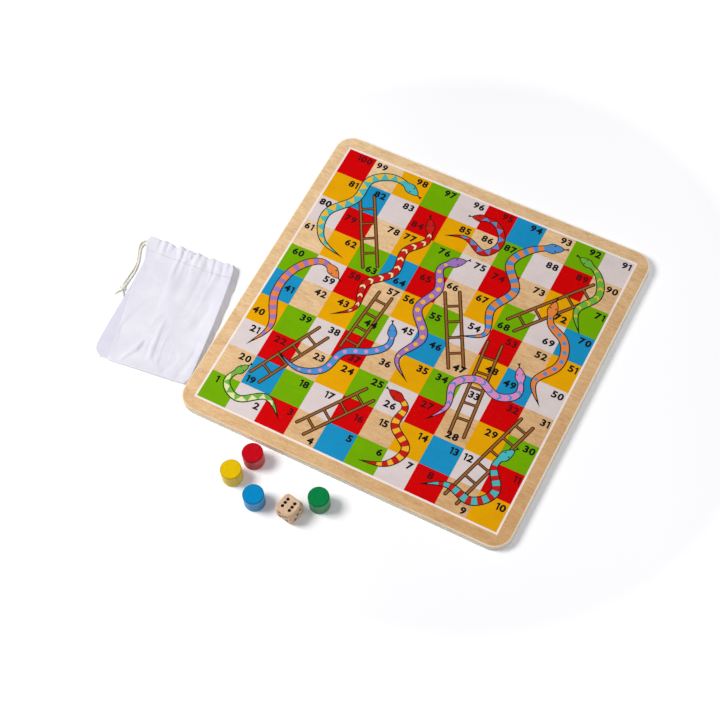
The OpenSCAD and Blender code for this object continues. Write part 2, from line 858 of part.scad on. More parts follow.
face_veneer();
upper_crossband();
core_ply();
lower_crossband();
back_veneer();
frame_line();
squares_white();
squares_red();
squares_yellow();
squares_green();
squares_blue();
ladder_outlines();
ladders();
snake_outlines();
snakes_red();
snakes_orange();
snakes_green();
snakes_teal();
snakes_blue();
snakes_purple();
snakes_pink();
marks_yellow();
marks_blue();
marks_cream();
marks_purple();
marks_orange();
marks_red();
marks_pink();
snake_eyes();
counter_red();
counter_yellow();
counter_blue();
counter_green();
die();
die_pips();
bag_back_panel();
bag_front_panel();
bag_hem();
drawstring_end_inner();
drawstring_end_outer();
drawstring_knot();
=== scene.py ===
# %% [markdown]
# # A snakes and ladders set on a white table
# The set is a printed plywood board, four painted wooden counters, a beech die and a small cotton
# drawstring bag. Its solids come from the frame, already in place and in metres, and this script
# gives them their camera, their light, their finishes and the soft pieces that solids can't be.
# %% Load the frame
import math

import bpy
import numpy as np
from mathutils import Matrix, Vector
from mathutils.bvhtree import BVHTree


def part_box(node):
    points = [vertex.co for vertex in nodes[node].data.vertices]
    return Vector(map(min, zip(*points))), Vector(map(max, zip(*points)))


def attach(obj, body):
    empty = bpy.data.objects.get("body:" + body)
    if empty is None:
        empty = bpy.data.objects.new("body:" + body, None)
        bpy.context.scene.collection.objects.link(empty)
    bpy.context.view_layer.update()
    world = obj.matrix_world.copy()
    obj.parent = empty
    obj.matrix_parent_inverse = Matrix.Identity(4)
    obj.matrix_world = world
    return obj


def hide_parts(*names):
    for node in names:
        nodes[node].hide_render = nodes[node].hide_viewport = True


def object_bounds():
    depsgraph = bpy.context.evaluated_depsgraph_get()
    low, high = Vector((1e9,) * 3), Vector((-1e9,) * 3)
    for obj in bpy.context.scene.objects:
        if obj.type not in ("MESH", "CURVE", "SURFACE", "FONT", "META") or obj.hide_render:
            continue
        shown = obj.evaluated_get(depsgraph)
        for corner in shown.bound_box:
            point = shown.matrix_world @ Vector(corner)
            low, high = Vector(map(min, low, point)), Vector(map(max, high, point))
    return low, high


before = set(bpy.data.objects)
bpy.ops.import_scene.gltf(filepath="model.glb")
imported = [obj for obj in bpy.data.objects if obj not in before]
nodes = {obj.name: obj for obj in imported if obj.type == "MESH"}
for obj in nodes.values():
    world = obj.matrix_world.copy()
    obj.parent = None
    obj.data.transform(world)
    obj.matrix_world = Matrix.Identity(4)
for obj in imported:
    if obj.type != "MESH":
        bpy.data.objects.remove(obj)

MM = 0.001
cad_box = [list(corner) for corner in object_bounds()]
scene = bpy.context.scene
scene.view_settings.view_transform = "Standard"
print(len(nodes), "pieces from the frame, in the box", [[round(x, 4) for x in c] for c in cad_box])

# %% [markdown]
# ## Camera
# The photograph was taken from a step away with a long lens, so the board's edges stay almost
# parallel. A camera is placed most surely by three facts: where it stands, what it looks at, and
# how far it is rolled about that line. The roll is small, but without it the board sits a few
# degrees off.
# %% Camera
CAMERA_PLACE = Vector((0.3306, -0.6110, 1.2654))
CAMERA_AIM = Vector((-0.0328, -0.0446, 0))
CAMERA_ROLL = math.radians(-5.735)
CAMERA_LENS = 85.67
NEAREST_SEEN = 0.05


def make_camera():
    """The photograph's camera, which looks along its own -Z."""
    camera = bpy.data.objects.new("camera", bpy.data.cameras.new("camera"))
    look = (CAMERA_AIM - CAMERA_PLACE).to_track_quat("-Z", "Y").to_matrix().to_4x4()
    roll = Matrix.Rotation(CAMERA_ROLL, 4, "Z")
    camera.matrix_world = Matrix.Translation(CAMERA_PLACE) @ look @ roll
    camera.data.lens = CAMERA_LENS
    camera.data.clip_start = NEAREST_SEEN
    scene.collection.objects.link(camera)
    return camera


scene.camera = make_camera()
axes = scene.camera.matrix_world.to_3x3()
print("camera axes", [[round(x, 3) for x in row] for row in axes])

# %% [markdown]
# ## Building meshes from grids of points
# Cloth, cords and rims are all grids: rows of points that follow one another. One helper turns
# such a grid into a mesh, and a second one sweeps a ring of points along a route for anything that
# is a cord or a thread.
# %% Grids
def new_piece(name, vertices, faces, smooth=True):
    """A mesh object from points and faces, in the frame's own coordinates."""
    mesh = bpy.data.meshes.new(name)
    mesh.from_pydata([tuple(v) for v in vertices], [], [tuple(f) for f in faces])
    mesh.validate()
    if smooth:
        mesh.shade_smooth()
    piece = bpy.data.objects.new(name, mesh)
    scene.collection.objects.link(piece)
    return piece


def grid_faces(rows, columns, closed=False):
    """Quads of a grid of rows by columns of points, whose columns close into rings if asked."""
    across = columns if closed else columns - 1
    return [
        (r * columns + c, r * columns + (c + 1) % columns,
         (r + 1) * columns + (c + 1) % columns, (r + 1) * columns + c)
        for r in range(rows - 1) for c in range(across)
    ]


def together(parts):
    """Several lists of points and faces as one."""
    points, faces, start = [], [], 0
    for part_points, part_faces in parts:
        points.append(np.asarray(part_points))
        faces += [tuple(start + i for i in face) for face in part_faces]
        start += len(part_points)
    return np.vstack(points), faces


print("a grid of 3 by 4 points has", len(grid_faces(3, 4)), "faces")

# %% Smooth routes
STEPS_PER_SPAN = 16


def distances(line):
    """How far along a line each of its points lies."""
    return np.concatenate([[0], np.cumsum(np.linalg.norm(np.diff(line, axis=0), axis=1))])


def points_at(line, places):
    """Points at the given distances along a line."""
    s = distances(line)
    return np.column_stack([np.interp(places, s, line[:, k]) for k in range(3)])


def smooth_route(points, spacing):
    """Points at an even spacing along the smooth curve through the given ones."""
    points = np.array(points, float)
    ends = np.vstack([2 * points[0] - points[1], points, 2 * points[-1] - points[-2]])
    t = np.linspace(0, 1, STEPS_PER_SPAN, endpoint=False)[:, None]
    line = []
    for a, b, c, d in zip(ends, ends[1:], ends[2:], ends[3:]):
        line.append((2 * b + (c - a) * t + (2 * a - 5 * b + 4 * c - d) * t**2
                     + (3 * b - a - 3 * c + d) * t**3) / 2)
    line = np.vstack(line + [points[-1:]])
    whole = distances(line)[-1]
    return points_at(line, np.linspace(0, whole, max(2, int(round(whole / spacing)) + 1)))


print("a bend of 20 mm has", len(smooth_route([(0, 0, 0), (10, 0, 0), (10, 10, 0)], 1)), "points")

# %% Tubes
def route_frames(route):
    """At each point of a route: the way along it, and two ways square to it that don't twist."""
    along = np.gradient(route, axis=0)
    along /= np.linalg.norm(along, axis=1)[:, None]
    side = np.cross(along[0], (0, 0, 1) if abs(along[0][2]) < 0.9 else (1, 0, 0))
    sides = []
    for direction in along:
        side = side - direction * (side @ direction)
        side /= np.linalg.norm(side)
        sides.append(side)
    sides = np.array(sides)
    return along, sides, np.cross(along, sides)


def tube(route, radius, corners=8):
    """Points and faces of a tube round a route, closed by a point at each end."""
    _, side, up = route_frames(route)
    radius = np.broadcast_to(radius, len(route))[:, None, None]
    turn = np.linspace(0, 2 * math.pi, corners, endpoint=False)[None, :, None]
    rings = route[:, None] + radius * (side[:, None] * np.cos(turn) + up[:, None] * np.sin(turn))
    points = np.vstack([rings.reshape(-1, 3), route[:1], route[-1:]])
    faces = grid_faces(len(route), corners, closed=True)
    first, last = len(points) - 2, len(points) - 1
    end = (len(route) - 1) * corners
    faces += [(first, (k + 1) % corners, k) for k in range(corners)]
    faces += [(last, end + k, end + (k + 1) % corners) for k in range(corners)]
    return points, faces


print("a tube over three points has", len(tube(np.eye(3), 0.1)[1]), "faces")

# %% [markdown]
# ## Drawstring
# The drawstring is a soft cotton cord of three strands twisted together. Its two ends leave the
# hem at one side, lie loose on the table along the bag's edge and are tied in one overhand knot,
# so the pull can't slip into the hem. A twisted cord could be a round tube with a striped bump,
# but its outline would stay straight, so each strand is swept along its own helix round the route.
# %% The bag's place and the routes of the drawstring
BAG_PLACE = Vector((-0.152, -0.1263, 0))
BAG_TURN = math.radians(4)
BAG_MATRIX = Matrix.Translation(BAG_PLACE) @ Matrix.Rotation(BAG_TURN, 4, "Z")
KNOT_PLACE = (-92.6, 58.5)
INNER_ROUTE = [(-91, 107, 1.6), (-95, 106.5, 1.4), (-96.4, 103, 1), (-95, 97, 0.9),
               (-92.5, 90, 0.9), (-91, 83, 0.9), (-90.6, 76, 0.9), (-91.2, 69, 0.9), (-92, 63, 1.4),
               (-92, 60, 2)]
OUTER_ROUTE = [(-91, 110, 1.6), (-95.5, 110, 1.4), (-98.6, 107, 1), (-98.4, 102, 0.9),
               (-96, 95, 0.9), (-93.6, 88, 0.9), (-93, 80, 0.9), (-93.8, 72, 0.9), (-94, 65, 1.4),
               (-93.4, 60, 2)]
ROUTE_STEP = 0.4 * MM


def in_bag(points):
    """Points given in the bag's own frame, in millimetres, as places in the frame."""
    return np.array([BAG_MATRIX @ Vector(p * MM) for p in np.asarray(points, float)])


cord_routes = {
    "drawstring_inner": ("drawstring_end_inner", smooth_route(in_bag(INNER_ROUTE), ROUTE_STEP)),
    "drawstring_outer": ("drawstring_end_outer", smooth_route(in_bag(OUTER_ROUTE), ROUTE_STEP)),
}
for name, (_, route) in cord_routes.items():
    print(name, round(float(distances(route)[-1]), 4), "m long")

# %% Twisted cord
CORD_D = 1.6 * MM
CORD_LAY = 4.2 * MM
STRAND_R, STRAND_OUT = 0.3, 0.22


def twisted(route):
    """The cord along a route: three strands that make one turn in each length of lay."""
    _, side, up = route_frames(route)
    s = distances(route)
    parts = []
    for start in (0, 1, 2):
        turn = (2 * math.pi * (s / CORD_LAY + start / 3))[:, None]
        helix = route + CORD_D * STRAND_OUT * (side * np.cos(turn) + up * np.sin(turn))
        parts.append(tube(helix, CORD_D * STRAND_R))
    return together(parts)


cords = {name: new_piece(name, *twisted(route)) for name, (_, route) in cord_routes.items()}
print({name: len(piece.data.polygons) for name, piece in cords.items()}, "faces")

# %% [markdown]
# The knot is the same cord: one overhand turn, which is a trefoil when its ends are drawn tight,
# and two short tails that fray into single fibres. The tails come out below the knot and sink to
# the table.
# %% Knot
CORD_MM = CORD_D / MM
KNOT_MM = 5.0
KNOT_CENTRE = np.array([*KNOT_PLACE, KNOT_MM / 2])
TREFOIL_POINTS = 90
TREFOIL_HEIGHT = 1.4


def overhand_turn():
    """The knot's turn as a trefoil, flattened as it lies."""
    t = np.linspace(0, 2 * math.pi, TREFOIL_POINTS)
    reach = (KNOT_MM - CORD_MM) / 6
    trefoil = np.column_stack([np.sin(t) + 2 * np.sin(2 * t), np.cos(t) - 2 * np.cos(2 * t),
                               -TREFOIL_HEIGHT * np.sin(3 * t)])
    return in_bag(KNOT_CENTRE + reach * trefoil)


overhand = twisted(overhand_turn())
print("overhand turn has", len(overhand[1]), "faces")

# %% Frayed tails
TAIL_TURNS = (-36, 36)
TAIL_START, TAIL_BEND, TAIL_END = 0.8, 3.2, 6.7
TAIL_SINK = -1.1
THREAD_STEP = 0.3 * MM
FRAY_FIBRES = 16
FRAY_L = 1.6
FRAY_SPREAD, FRAY_START, FRAY_BEND = 0.3, 0.35, 0.3
FRAY_LENGTHS = (0.6, 1.1)
FIBRE_R = (0.11 * MM, 0.05 * MM)
LOWEST_START, LOWEST_TIP = 0.3, 0.15


def fibre(random, end, out):
    """One fibre that leaves the cut end of a tail."""
    spread = random.normal(0, FRAY_SPREAD, 3)
    start = end + random.uniform(-FRAY_START, FRAY_START, 3)
    tip = start + out * FRAY_L * random.uniform(*FRAY_LENGTHS) + spread
    tip[2] = max(tip[2], LOWEST_TIP)
    start[2] = max(start[2], LOWEST_START)
    middle = (start + tip) / 2 + spread * (FRAY_BEND, FRAY_BEND, 0)
    route = smooth_route(in_bag([start, middle, tip]), THREAD_STEP)
    return tube(route, np.linspace(*FIBRE_R, len(route)), 5)


def tail(turn, seed):
    """One free tail of the cord and the fibres at its cut end."""
    angle = math.radians(turn)
    out = np.array([math.sin(angle), -math.cos(angle), 0])
    end = KNOT_CENTRE + out * TAIL_END + (0, 0, CORD_MM / 2 - KNOT_CENTRE[2])
    bend = KNOT_CENTRE + out * TAIL_BEND + (0, 0, TAIL_SINK)
    route = smooth_route(in_bag([KNOT_CENTRE + out * TAIL_START, bend, end]), THREAD_STEP)
    random = np.random.default_rng(seed)
    return together([twisted(route)] + [fibre(random, end, out) for _ in range(FRAY_FIBRES)])


tails = [tail(turn, seed) for seed, turn in enumerate(TAIL_TURNS)]
knot = new_piece("knot", *together([overhand] + tails))
print("knot and tails have", len(knot.data.polygons), "faces")

for name, (cad_node, route) in cord_routes.items():
    piece = cords[name]
    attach(piece, "bag")
    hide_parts(cad_node)
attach(knot, "bag")
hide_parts("drawstring_knot")
print("declared", *cords, "and the knot on them")

# %% [markdown]
# ## Light and ground
# The photograph has a white ground with soft bluish shadows that fall to the right, so one broad
# lamp stands to the left. A weak and wide one low at the right lights the raw edge there, and the
# sky of the studio fills the shadows. The ground is a pale sheet that is lifted to white only for
# the camera, so the set isn't lit any harder for the ground's sake.
# %% Table
TABLE_HALF = 3.0


def make_table():
    """A wide flat sheet on which everything stands."""
    corners = [(-TABLE_HALF, -TABLE_HALF, 0), (TABLE_HALF, -TABLE_HALF, 0),
               (TABLE_HALF, TABLE_HALF, 0), (-TABLE_HALF, TABLE_HALF, 0)]
    sheet = new_piece("table", corners, [(0, 1, 2, 3)], smooth=False)
    return sheet


table = make_table()
print("the table is", 2 * TABLE_HALF, "m wide")

# %% Lamps
# Each lamp's turn and height in degrees, its distance and size in metres, its power and its colour
LAMPS = {"key_lamp": (205, 51, 1.5, 0.62, 20.6, (1.0, 0.993, 0.98)),
         "fill_lamp": (15, 28, 2.0, 1.5, 9.2, (1, 1, 1))}


def make_lamp(name, turn, height, distance, size, power, colour):
    """A square lamp that looks at the middle of the set."""
    lamp = bpy.data.lights.new(name, "AREA")
    lamp.color, lamp.size, lamp.energy = colour, size, power
    piece = bpy.data.objects.new(name, lamp)
    middle = (Vector(cad_box[0]) + Vector(cad_box[1])) / 2
    turn, height = math.radians(turn), math.radians(height)
    away = Vector((math.cos(turn) * math.cos(height), math.sin(turn) * math.cos(height),
                   math.sin(height)))
    piece.location = middle + away * distance
    piece.rotation_euler = (-away).to_track_quat("-Z", "Y").to_euler()
    scene.collection.objects.link(piece)
    return piece


for name, facts in LAMPS.items():
    print(name, "stands at", [round(x, 2) for x in make_lamp(name, *facts).location])

# %% [markdown]
# ## Helpers for materials
# Every finish here is made of nodes. A few helpers keep that short: one adds a node with its
# inputs set or linked and gives its outputs, and small ones on top of it do sums, mix colours,
# stretch a range or make noise. Colours are written as the photograph's sRGB values and turned
# into the linear light that the renderer needs.
# %% Adding nodes
def srgb(code):
    """A colour such as '#E3C298' in linear light."""
    parts = [int(code[i:i + 2], 16) / 255 for i in (1, 3, 5)]
    return (*[c / 12.92 if c <= 0.04045 else ((c + 0.055) / 1.055) ** 2.4 for c in parts], 1.0)


def fill_in(tree, node, inputs):
    """Give a node its inputs, each a value or a socket to link; gives the node's outputs."""
    for name, value in inputs.items():
        if isinstance(value, bpy.types.NodeSocket):
            tree.links.new(value, node.inputs[name])
        else:
            node.inputs[name].default_value = value
    return node.outputs


def add(tree, kind, inputs=None, **settings):
    """Add a node of that kind; gives its outputs."""
    node = tree.nodes.new("ShaderNode" + kind)
    for name, value in settings.items():
        setattr(node, name, value)
    return fill_in(tree, node, inputs or {})


WHITE, BLACK = (1, 1, 1, 1), (0, 0, 0, 1)
print("a mid grey is", round(srgb("#808080")[0], 3), "in linear light")

# %% Sums, ranges and noise
def sums(tree, operation, first, *others):
    """The result of a Math node, or of a row of them that take in one value after another."""
    if not others:
        return add(tree, "Math", {0: first}, operation=operation)[0]
    for other in others:
        first = add(tree, "Math", {0: first, 1: other}, operation=operation)[0]
    return first


def vectors(tree, operation, *values):
    """The result of a Vector Math node."""
    return add(tree, "VectorMath", dict(enumerate(values)), operation=operation)[0]


def length_of(tree, vector):
    """The length of a vector."""
    return add(tree, "VectorMath", {0: vector}, operation="LENGTH")["Value"]


def parts_of(tree, vector):
    """The X, Y and Z of a vector."""
    return tuple(add(tree, "SeparateXYZ", {0: vector}))


def turned_about_z(tree, vector, angle, invert=False):
    """A vector turned about the Z axis."""
    return add(tree, "VectorRotate", {"Vector": vector, "Angle": angle}, rotation_type="Z_AXIS",
               invert=invert)[0]


def mixed(tree, factor, a, b, blend="MIX"):
    """Two colours mixed by a factor."""
    return add(tree, "Mix", {0: factor, 6: a, 7: b}, data_type="RGBA", blend_type=blend)[2]


def ranged(tree, value, low, high, to_low=0.0, to_high=1.0, **settings):
    """A value's range from low to high stretched to another range, and held at its ends."""
    return add(tree, "MapRange", {"Value": value, "From Min": low, "From Max": high,
                                  "To Min": to_low, "To Max": to_high}, **settings)[0]


def noise(tree, vector, scale, detail=3.0, roughness=0.5):
    """A cloudy value from 0 to 1, whose three scales, if given, draw it out along the axes."""
    if isinstance(scale, tuple):
        vector, scale = vectors(tree, "MULTIPLY", vector, scale), 1.0
    return add(tree, "TexNoise", {"Vector": vector, "Scale": scale, "Detail": detail,
                                  "Roughness": roughness})[0]


def place_of(tree):
    """Where a point lies in the frame at rest, in metres."""
    return add(tree, "TexCoord")["Object"]


print("helpers for sums, ranges and noise are ready")

# %% Groups and materials
def start_group(name, **inputs):
    """A node group with inputs of a kind and a value; gives the group and those inputs."""
    tree = bpy.data.node_groups.new(name, "ShaderNodeTree")
    for title, (kind, value) in inputs.items():
        socket = tree.interface.new_socket(title, in_out="INPUT", socket_type="NodeSocket" + kind)
        socket.default_value = value
    return tree, tree.nodes.new("NodeGroupInput").outputs


def end_group(tree, **results):
    """Link a group's results to outputs, a colour for Color and a value for any other."""
    for title in results:
        kind = "NodeSocketColor" if title == "Color" else "NodeSocketFloat"
        tree.interface.new_socket(title, in_out="OUTPUT", socket_type=kind)
    out = tree.nodes.new("NodeGroupOutput").inputs
    for title, socket in results.items():
        tree.links.new(socket, out[title])
    return tree


def use_group(tree, group, inputs):
    """A group placed in a material with its own values; gives its outputs."""
    node = tree.nodes.new("ShaderNodeGroup")
    node.node_tree = group
    return fill_in(tree, node, inputs)


def start_material(name, **values):
    """A material with a Principled shader whose plain values are set; gives all three."""
    material = bpy.data.materials.new(name)
    material.use_nodes = True
    shader = material.node_tree.nodes["Principled BSDF"]
    for title, value in values.items():
        shader.inputs[title.replace("_", " ")].default_value = value
    return material, material.node_tree, shader


def finish(tree, shader, colour, roughness, height=None, relief=0.0):
    """Link what varies over the surface to the shader, with relief in metres for a height of 1."""
    tree.links.new(colour, shader.inputs["Base Color"])
    tree.links.new(roughness, shader.inputs["Roughness"])
    if height is not None:
        bump = add(tree, "Bump", {"Height": height, "Distance": relief, "Strength": 1.0})
        tree.links.new(bump[0], shader.inputs["Normal"])


def paint_over(material, mask, code):
    """Lay another colour over a finished material where the mask is 1."""
    tree = material.node_tree
    colour = tree.nodes["Principled BSDF"].inputs["Base Color"]
    tree.links.new(mixed(tree, mask, colour.links[0].from_socket, srgb(code)), colour)


print("helpers for groups and materials are ready")

# %% [markdown]
# The table and the sky are the stage. For the camera alone the table glows a little, more towards
# the right where the big lamp is weaker, and far from the set it turns plain white. The sky lights
# everything at a plain level, and what the camera, a reflection or a view through glass sees of it
# is plain white.
# %% Table sheet
TABLE_TONES = ("#F9F9FA", "#FDFDFD")
TABLE_CLOUDS = 3.0
TABLE_ROUGH = (0.85, 0.95)
GLOW = (0.08, 0.18)
GLOW_SLANT = 0.4
GLOW_REACH = 0.22
FADE = (0.2, 0.5)


def dress_table():
    """A white sheet that keeps its shadows."""
    material, tree, shader = start_material("table_sheet", Specular_IOR_Level=0.0,
                                            Emission_Strength=1.0)
    cloudy = noise(tree, place_of(tree), TABLE_CLOUDS, 2.0)
    colour = mixed(tree, cloudy, *[srgb(tone) for tone in TABLE_TONES])
    finish(tree, shader, colour, ranged(tree, cloudy, 0, 1, *TABLE_ROUGH))
    x, y, _ = parts_of(tree, place_of(tree))
    from_lamp = sums(tree, "ADD", x, sums(tree, "MULTIPLY", y, GLOW_SLANT))
    glow = ranged(tree, from_lamp, 0.0, GLOW_REACH, *GLOW)
    white = ranged(tree, length_of(tree, place_of(tree)), *FADE, interpolation_type="SMOOTHSTEP")
    seen = add(tree, "LightPath")["Is Camera Ray"]
    glow = sums(tree, "MULTIPLY", sums(tree, "MAXIMUM", glow, white), seen)
    tree.links.new(mixed(tree, glow, BLACK, WHITE), shader.inputs["Emission Color"])
    table.data.materials.append(material)
    return material


print(dress_table().name, "is on the table")

# %% Sky
SKY_COLOUR = (0.95, 0.95, 1.055, 1)
SKY_STRENGTH = 0.23


def dress_sky():
    """A white sky that lights the shadows."""
    world = scene.world or bpy.data.worlds.new("sky")
    scene.world = world
    world.use_nodes = True
    tree = world.node_tree
    tree.nodes.clear()
    rays = add(tree, "LightPath")
    seen = sums(tree, "MAXIMUM", rays["Is Camera Ray"], rays["Is Glossy Ray"],
                rays["Is Transmission Ray"])
    sky = add(tree, "Background", {"Color": mixed(tree, seen, SKY_COLOUR, WHITE),
                                   "Strength": ranged(tree, seen, 0, 1, SKY_STRENGTH, 1.0)})
    tree.links.new(sky[0], tree.nodes.new("ShaderNodeOutputWorld").inputs[0])


dress_sky()
print("the sky's strength is", SKY_STRENGTH)

# %% [markdown]
# ## Wood
# The board's face is a pale birch veneer, its edge shows the plies, and the die is bare beech. All
# three are the same stuff at other scales: long faint streaks, fine fibres, cloudy patches and
# small dark flecks, all drawn out along the grain. So one group makes the figure, and each wood
# places it with its own colours and amounts. The grain runs along X, the way the face veneer was
# laid.
# %% Wood figure
STREAKS = ((95, 480, 480), 4.0, 0.7)
FIBRES = ((300, 1100, 1100), 3.0, 0.7)
PATCHES = ((38, 85, 85), 3.0, 0.6)
FLECK_CELLS = (330, 1500, 1500)
FLECKED_PLACES = ((120, 420, 420), 1.0)
GRAIN_WAVES, GRAIN_BEND = 9.0, (0, 0.012, 0.012)


def bent_place(tree, given):
    """The place at the figure's scale, bent sideways a little so that the grain wanders."""
    scale = add(tree, "CombineXYZ", {axis: given["Scale"] for axis in "XYZ"})[0]
    place = vectors(tree, "MULTIPLY", given["Place"], scale)
    bend = add(tree, "TexNoise", {"Vector": place, "Scale": GRAIN_WAVES, "Detail": 1.0})["Color"]
    bend = vectors(tree, "SUBTRACT", bend, (0.5, 0.5, 0.5))
    return vectors(tree, "ADD", place, vectors(tree, "MULTIPLY", bend, GRAIN_BEND))


def make_wood_figure():
    """The colour and height of planed wood whose grain runs along X."""
    tree, given = start_group(
        "wood_figure", Place=("Vector", (0, 0, 0)), Pale=("Color", srgb("#E3C298")),
        Dark=("Color", srgb("#C99C66")), Streaks=("Float", 0.5), Patches=("Float", 0.3),
        Flecks=("Float", 0.3), Scale=("Float", 1.0))
    place = bent_place(tree, given)
    streak = ranged(tree, noise(tree, place, *STREAKS), 0.34, 0.68)
    fibre = noise(tree, place, *FIBRES)
    patch = ranged(tree, noise(tree, place, *PATCHES), 0.35, 0.7)
    cells = {"Vector": vectors(tree, "MULTIPLY", place, FLECK_CELLS), "Scale": 1.0}
    fleck = sums(tree, "MULTIPLY",
                 ranged(tree, add(tree, "TexVoronoi", cells)["Distance"], 0.16, 0.34, 1, 0),
                 ranged(tree, noise(tree, place, *FLECKED_PLACES), 0.52, 0.62))
    lines = ranged(tree, fibre, 0.3, 0.7, -0.6, 0.6)
    shares = ((streak, "Streaks"), (patch, "Patches"), (lines, "Streaks"), (fleck, "Flecks"))
    figure = sums(tree, "ADD", *[sums(tree, "MULTIPLY", part, given[amount])
                                 for part, amount in shares])
    return end_group(tree, Color=mixed(tree, figure, given["Pale"], given["Dark"]),
                     Height=sums(tree, "SUBTRACT", fibre, sums(tree, "MULTIPLY", fleck, 0.6)),
                     Figure=figure)


wood_figure = make_wood_figure()
print("wood figure has", len(wood_figure.nodes), "nodes")

# %% [markdown]
# The face veneer is sealed with a thin satin lacquer, so it gets a light coat over the wood. The
# raw edge has none: the plies whose grain runs the other way show their end grain there, which is
# darker and duller. The veneer's colour also carries painted light: it is paler towards the upper
# left corner and darker towards the lower right, as the light falls off across the board.
# %% Woods
LIGHT_FALLOFF_SPAN = (-0.31, 0.31)


def over_board(tree, tones):
    """One colour, or painted light: paler to the board's upper left, darker to its lower right."""
    if isinstance(tones, str):
        return srgb(tones)
    x, y, _ = parts_of(tree, place_of(tree))
    share = ranged(tree, sums(tree, "SUBTRACT", y, x), *LIGHT_FALLOFF_SPAN)
    return mixed(tree, share, srgb(tones[0]), srgb(tones[1]))


def wood(name, pale, dark, amounts, rough, relief, scale=1.0, turn=0.0, coat=0.0):
    """A wood with amounts of streaks, patches and flecks, and its grain turned from X about Z."""
    material, tree, shader = start_material(name, Specular_IOR_Level=0.2, Coat_Weight=coat,
                                            Coat_Roughness=0.32)
    figure = use_group(tree, wood_figure, {
        "Place": turned_about_z(tree, place_of(tree), math.radians(turn)),
        "Pale": over_board(tree, pale), "Dark": over_board(tree, dark), "Streaks": amounts[0],
        "Patches": amounts[1], "Flecks": amounts[2], "Scale": scale})
    finish(tree, shader, figure["Color"], ranged(tree, figure["Figure"], 0, 1, *rough),
           figure["Height"], relief * MM)
    return material


# the pairs of face tones are painted light, paler to the upper left and darker to the lower right
face_wood = wood("face_wood", ("#D9AD78", "#F5D7AA"), ("#AB7640", "#C29560"), (0.36, 0.28, 0.6),
                 (0.38, 0.5), 0.012, coat=0.05)
long_ply = wood("ply_long_grain", "#EFEBDF", "#D6CEBB", (0.5, 0.3, 0.5), (0.7, 0.85), 0.05)
end_ply = wood("ply_end_grain", "#E0DACB", "#C4BBA6", (0.6, 0.4, 0.9), (0.75, 0.9), 0.06, turn=90)
die_wood = wood("die_wood", "#E3C6A8", "#B98F6A", (0.55, 0.35, 0.8), (0.5, 0.65), 0.02, scale=1.6,
                turn=-80)
print("woods:", face_wood.name, long_ply.name, end_ply.name, die_wood.name)

# %% [markdown]
# The veneer's sharp rim was broken with sandpaper into a small round. Along it lies a thin pale
# line, a painted highlight, brightest on the far sides. How close a point is to the rim follows
# from the board's square with round corners.
# %% Painted highlight on the rim
BOARD_HALF, CORNER_R = 150 * MM, 16 * MM
RIM_HIGHLIGHT_REACH = (0.9 * MM, 1.5 * MM)
FAR_SIDES = (-0.1, 0.05)
RIM_HIGHLIGHT_SHARE = (0.25, 1.0)


def sand_edge(material):
    """Paint a pale highlight along the board's sanded rim, brightest on its far sides."""
    tree = material.node_tree
    place = place_of(tree)
    inner = (BOARD_HALF - CORNER_R, BOARD_HALF - CORNER_R, 1)
    past = vectors(tree, "SUBTRACT", vectors(tree, "ABSOLUTE", place), inner)
    out = length_of(tree, vectors(tree, "MAXIMUM", past, (0, 0, 0)))
    at_rim = ranged(tree, sums(tree, "SUBTRACT", CORNER_R, out), *RIM_HIGHLIGHT_REACH, 1, 0)
    x, y, _ = parts_of(tree, place)
    share = ranged(tree, sums(tree, "ADD", x, y), *FAR_SIDES, *RIM_HIGHLIGHT_SHARE)
    # the pale colour laid along the rim is a painted highlight
    paint_over(material, sums(tree, "MULTIPLY", at_rim, share), "#FFF4DE")


sand_edge(face_wood)
print("the rim is sanded over", round(RIM_HIGHLIGHT_REACH[1] / MM, 1), "mm")

# %% [markdown]
# The die's pips are hollows that were filled with a drop of black paint. The paint wets their
# walls too. A wall is the only part of the die that lies deeper than its faces and is clear of its
# round edges and corners, so three lengths measured from the die's middle find it.
# %% Painted hollows
DIE_HALF = 8.25 * MM
DIE_TURN = math.radians(-10)
FACE_SKIN = 0.03 * MM
PIP_REACH = 6.3 * MM
HOLLOW_REACH = 11.7 * MM


def paint_hollows(material):
    """Blacken the walls of the die's hollows."""
    tree = material.node_tree
    low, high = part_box("die")
    local = vectors(tree, "SUBTRACT", place_of(tree), (Vector(low) + Vector(high)) / 2)
    square = turned_about_z(tree, local, DIE_TURN, invert=True)
    sides = parts_of(tree, vectors(tree, "ABSOLUTE", square))
    most, least = sums(tree, "MAXIMUM", *sides), sums(tree, "MINIMUM", *sides)
    between = sums(tree, "SUBTRACT", sums(tree, "ADD", *sides), most, least)
    limits = ((most, DIE_HALF - FACE_SKIN), (between, PIP_REACH),
              (length_of(tree, local), HOLLOW_REACH))
    inside = [sums(tree, "LESS_THAN", value, limit) for value, limit in limits]
    paint_over(material, sums(tree, "MULTIPLY", *inside), "#0E0B0A")


paint_hollows(die_wood)
print("hollows start", round(FACE_SKIN / MM, 2), "mm below the die's faces")

# %% Dress the plies and the die
PLIES = {"face_veneer": face_wood, "upper_crossband": end_ply, "core_ply": long_ply,
         "lower_crossband": end_ply, "back_veneer": long_ply}


def dress(node, material):
    """Give a CAD piece its material in every slot."""
    mesh = nodes[node].data
    mesh.materials.clear()
    mesh.materials.append(material)


for node, material in PLIES.items():
    dress(node, material)
dress("die", die_wood)
print(len(PLIES), "plies and the die are dressed")

# %% [markdown]
# ## Printed inks
# The squares, ladders and snakes are screen-printed straight onto the veneer. Such ink is thin:
# the grain still shows as a faint relief, a little of the wood's tone comes through, and the mesh
# leaves tiny pinholes. A group makes those, and every ink places it with its own colour.
# %% Ink group
UNDER_INK = {"Pale": WHITE, "Dark": srgb("#6E5A44"), "Streaks": 0.28, "Patches": 0.36,
             "Flecks": 0.3, "Scale": 1.0}
INK_CLOUDS = (60.0, 4.0, 0.6)
PINHOLES = (2600.0, 1.0)


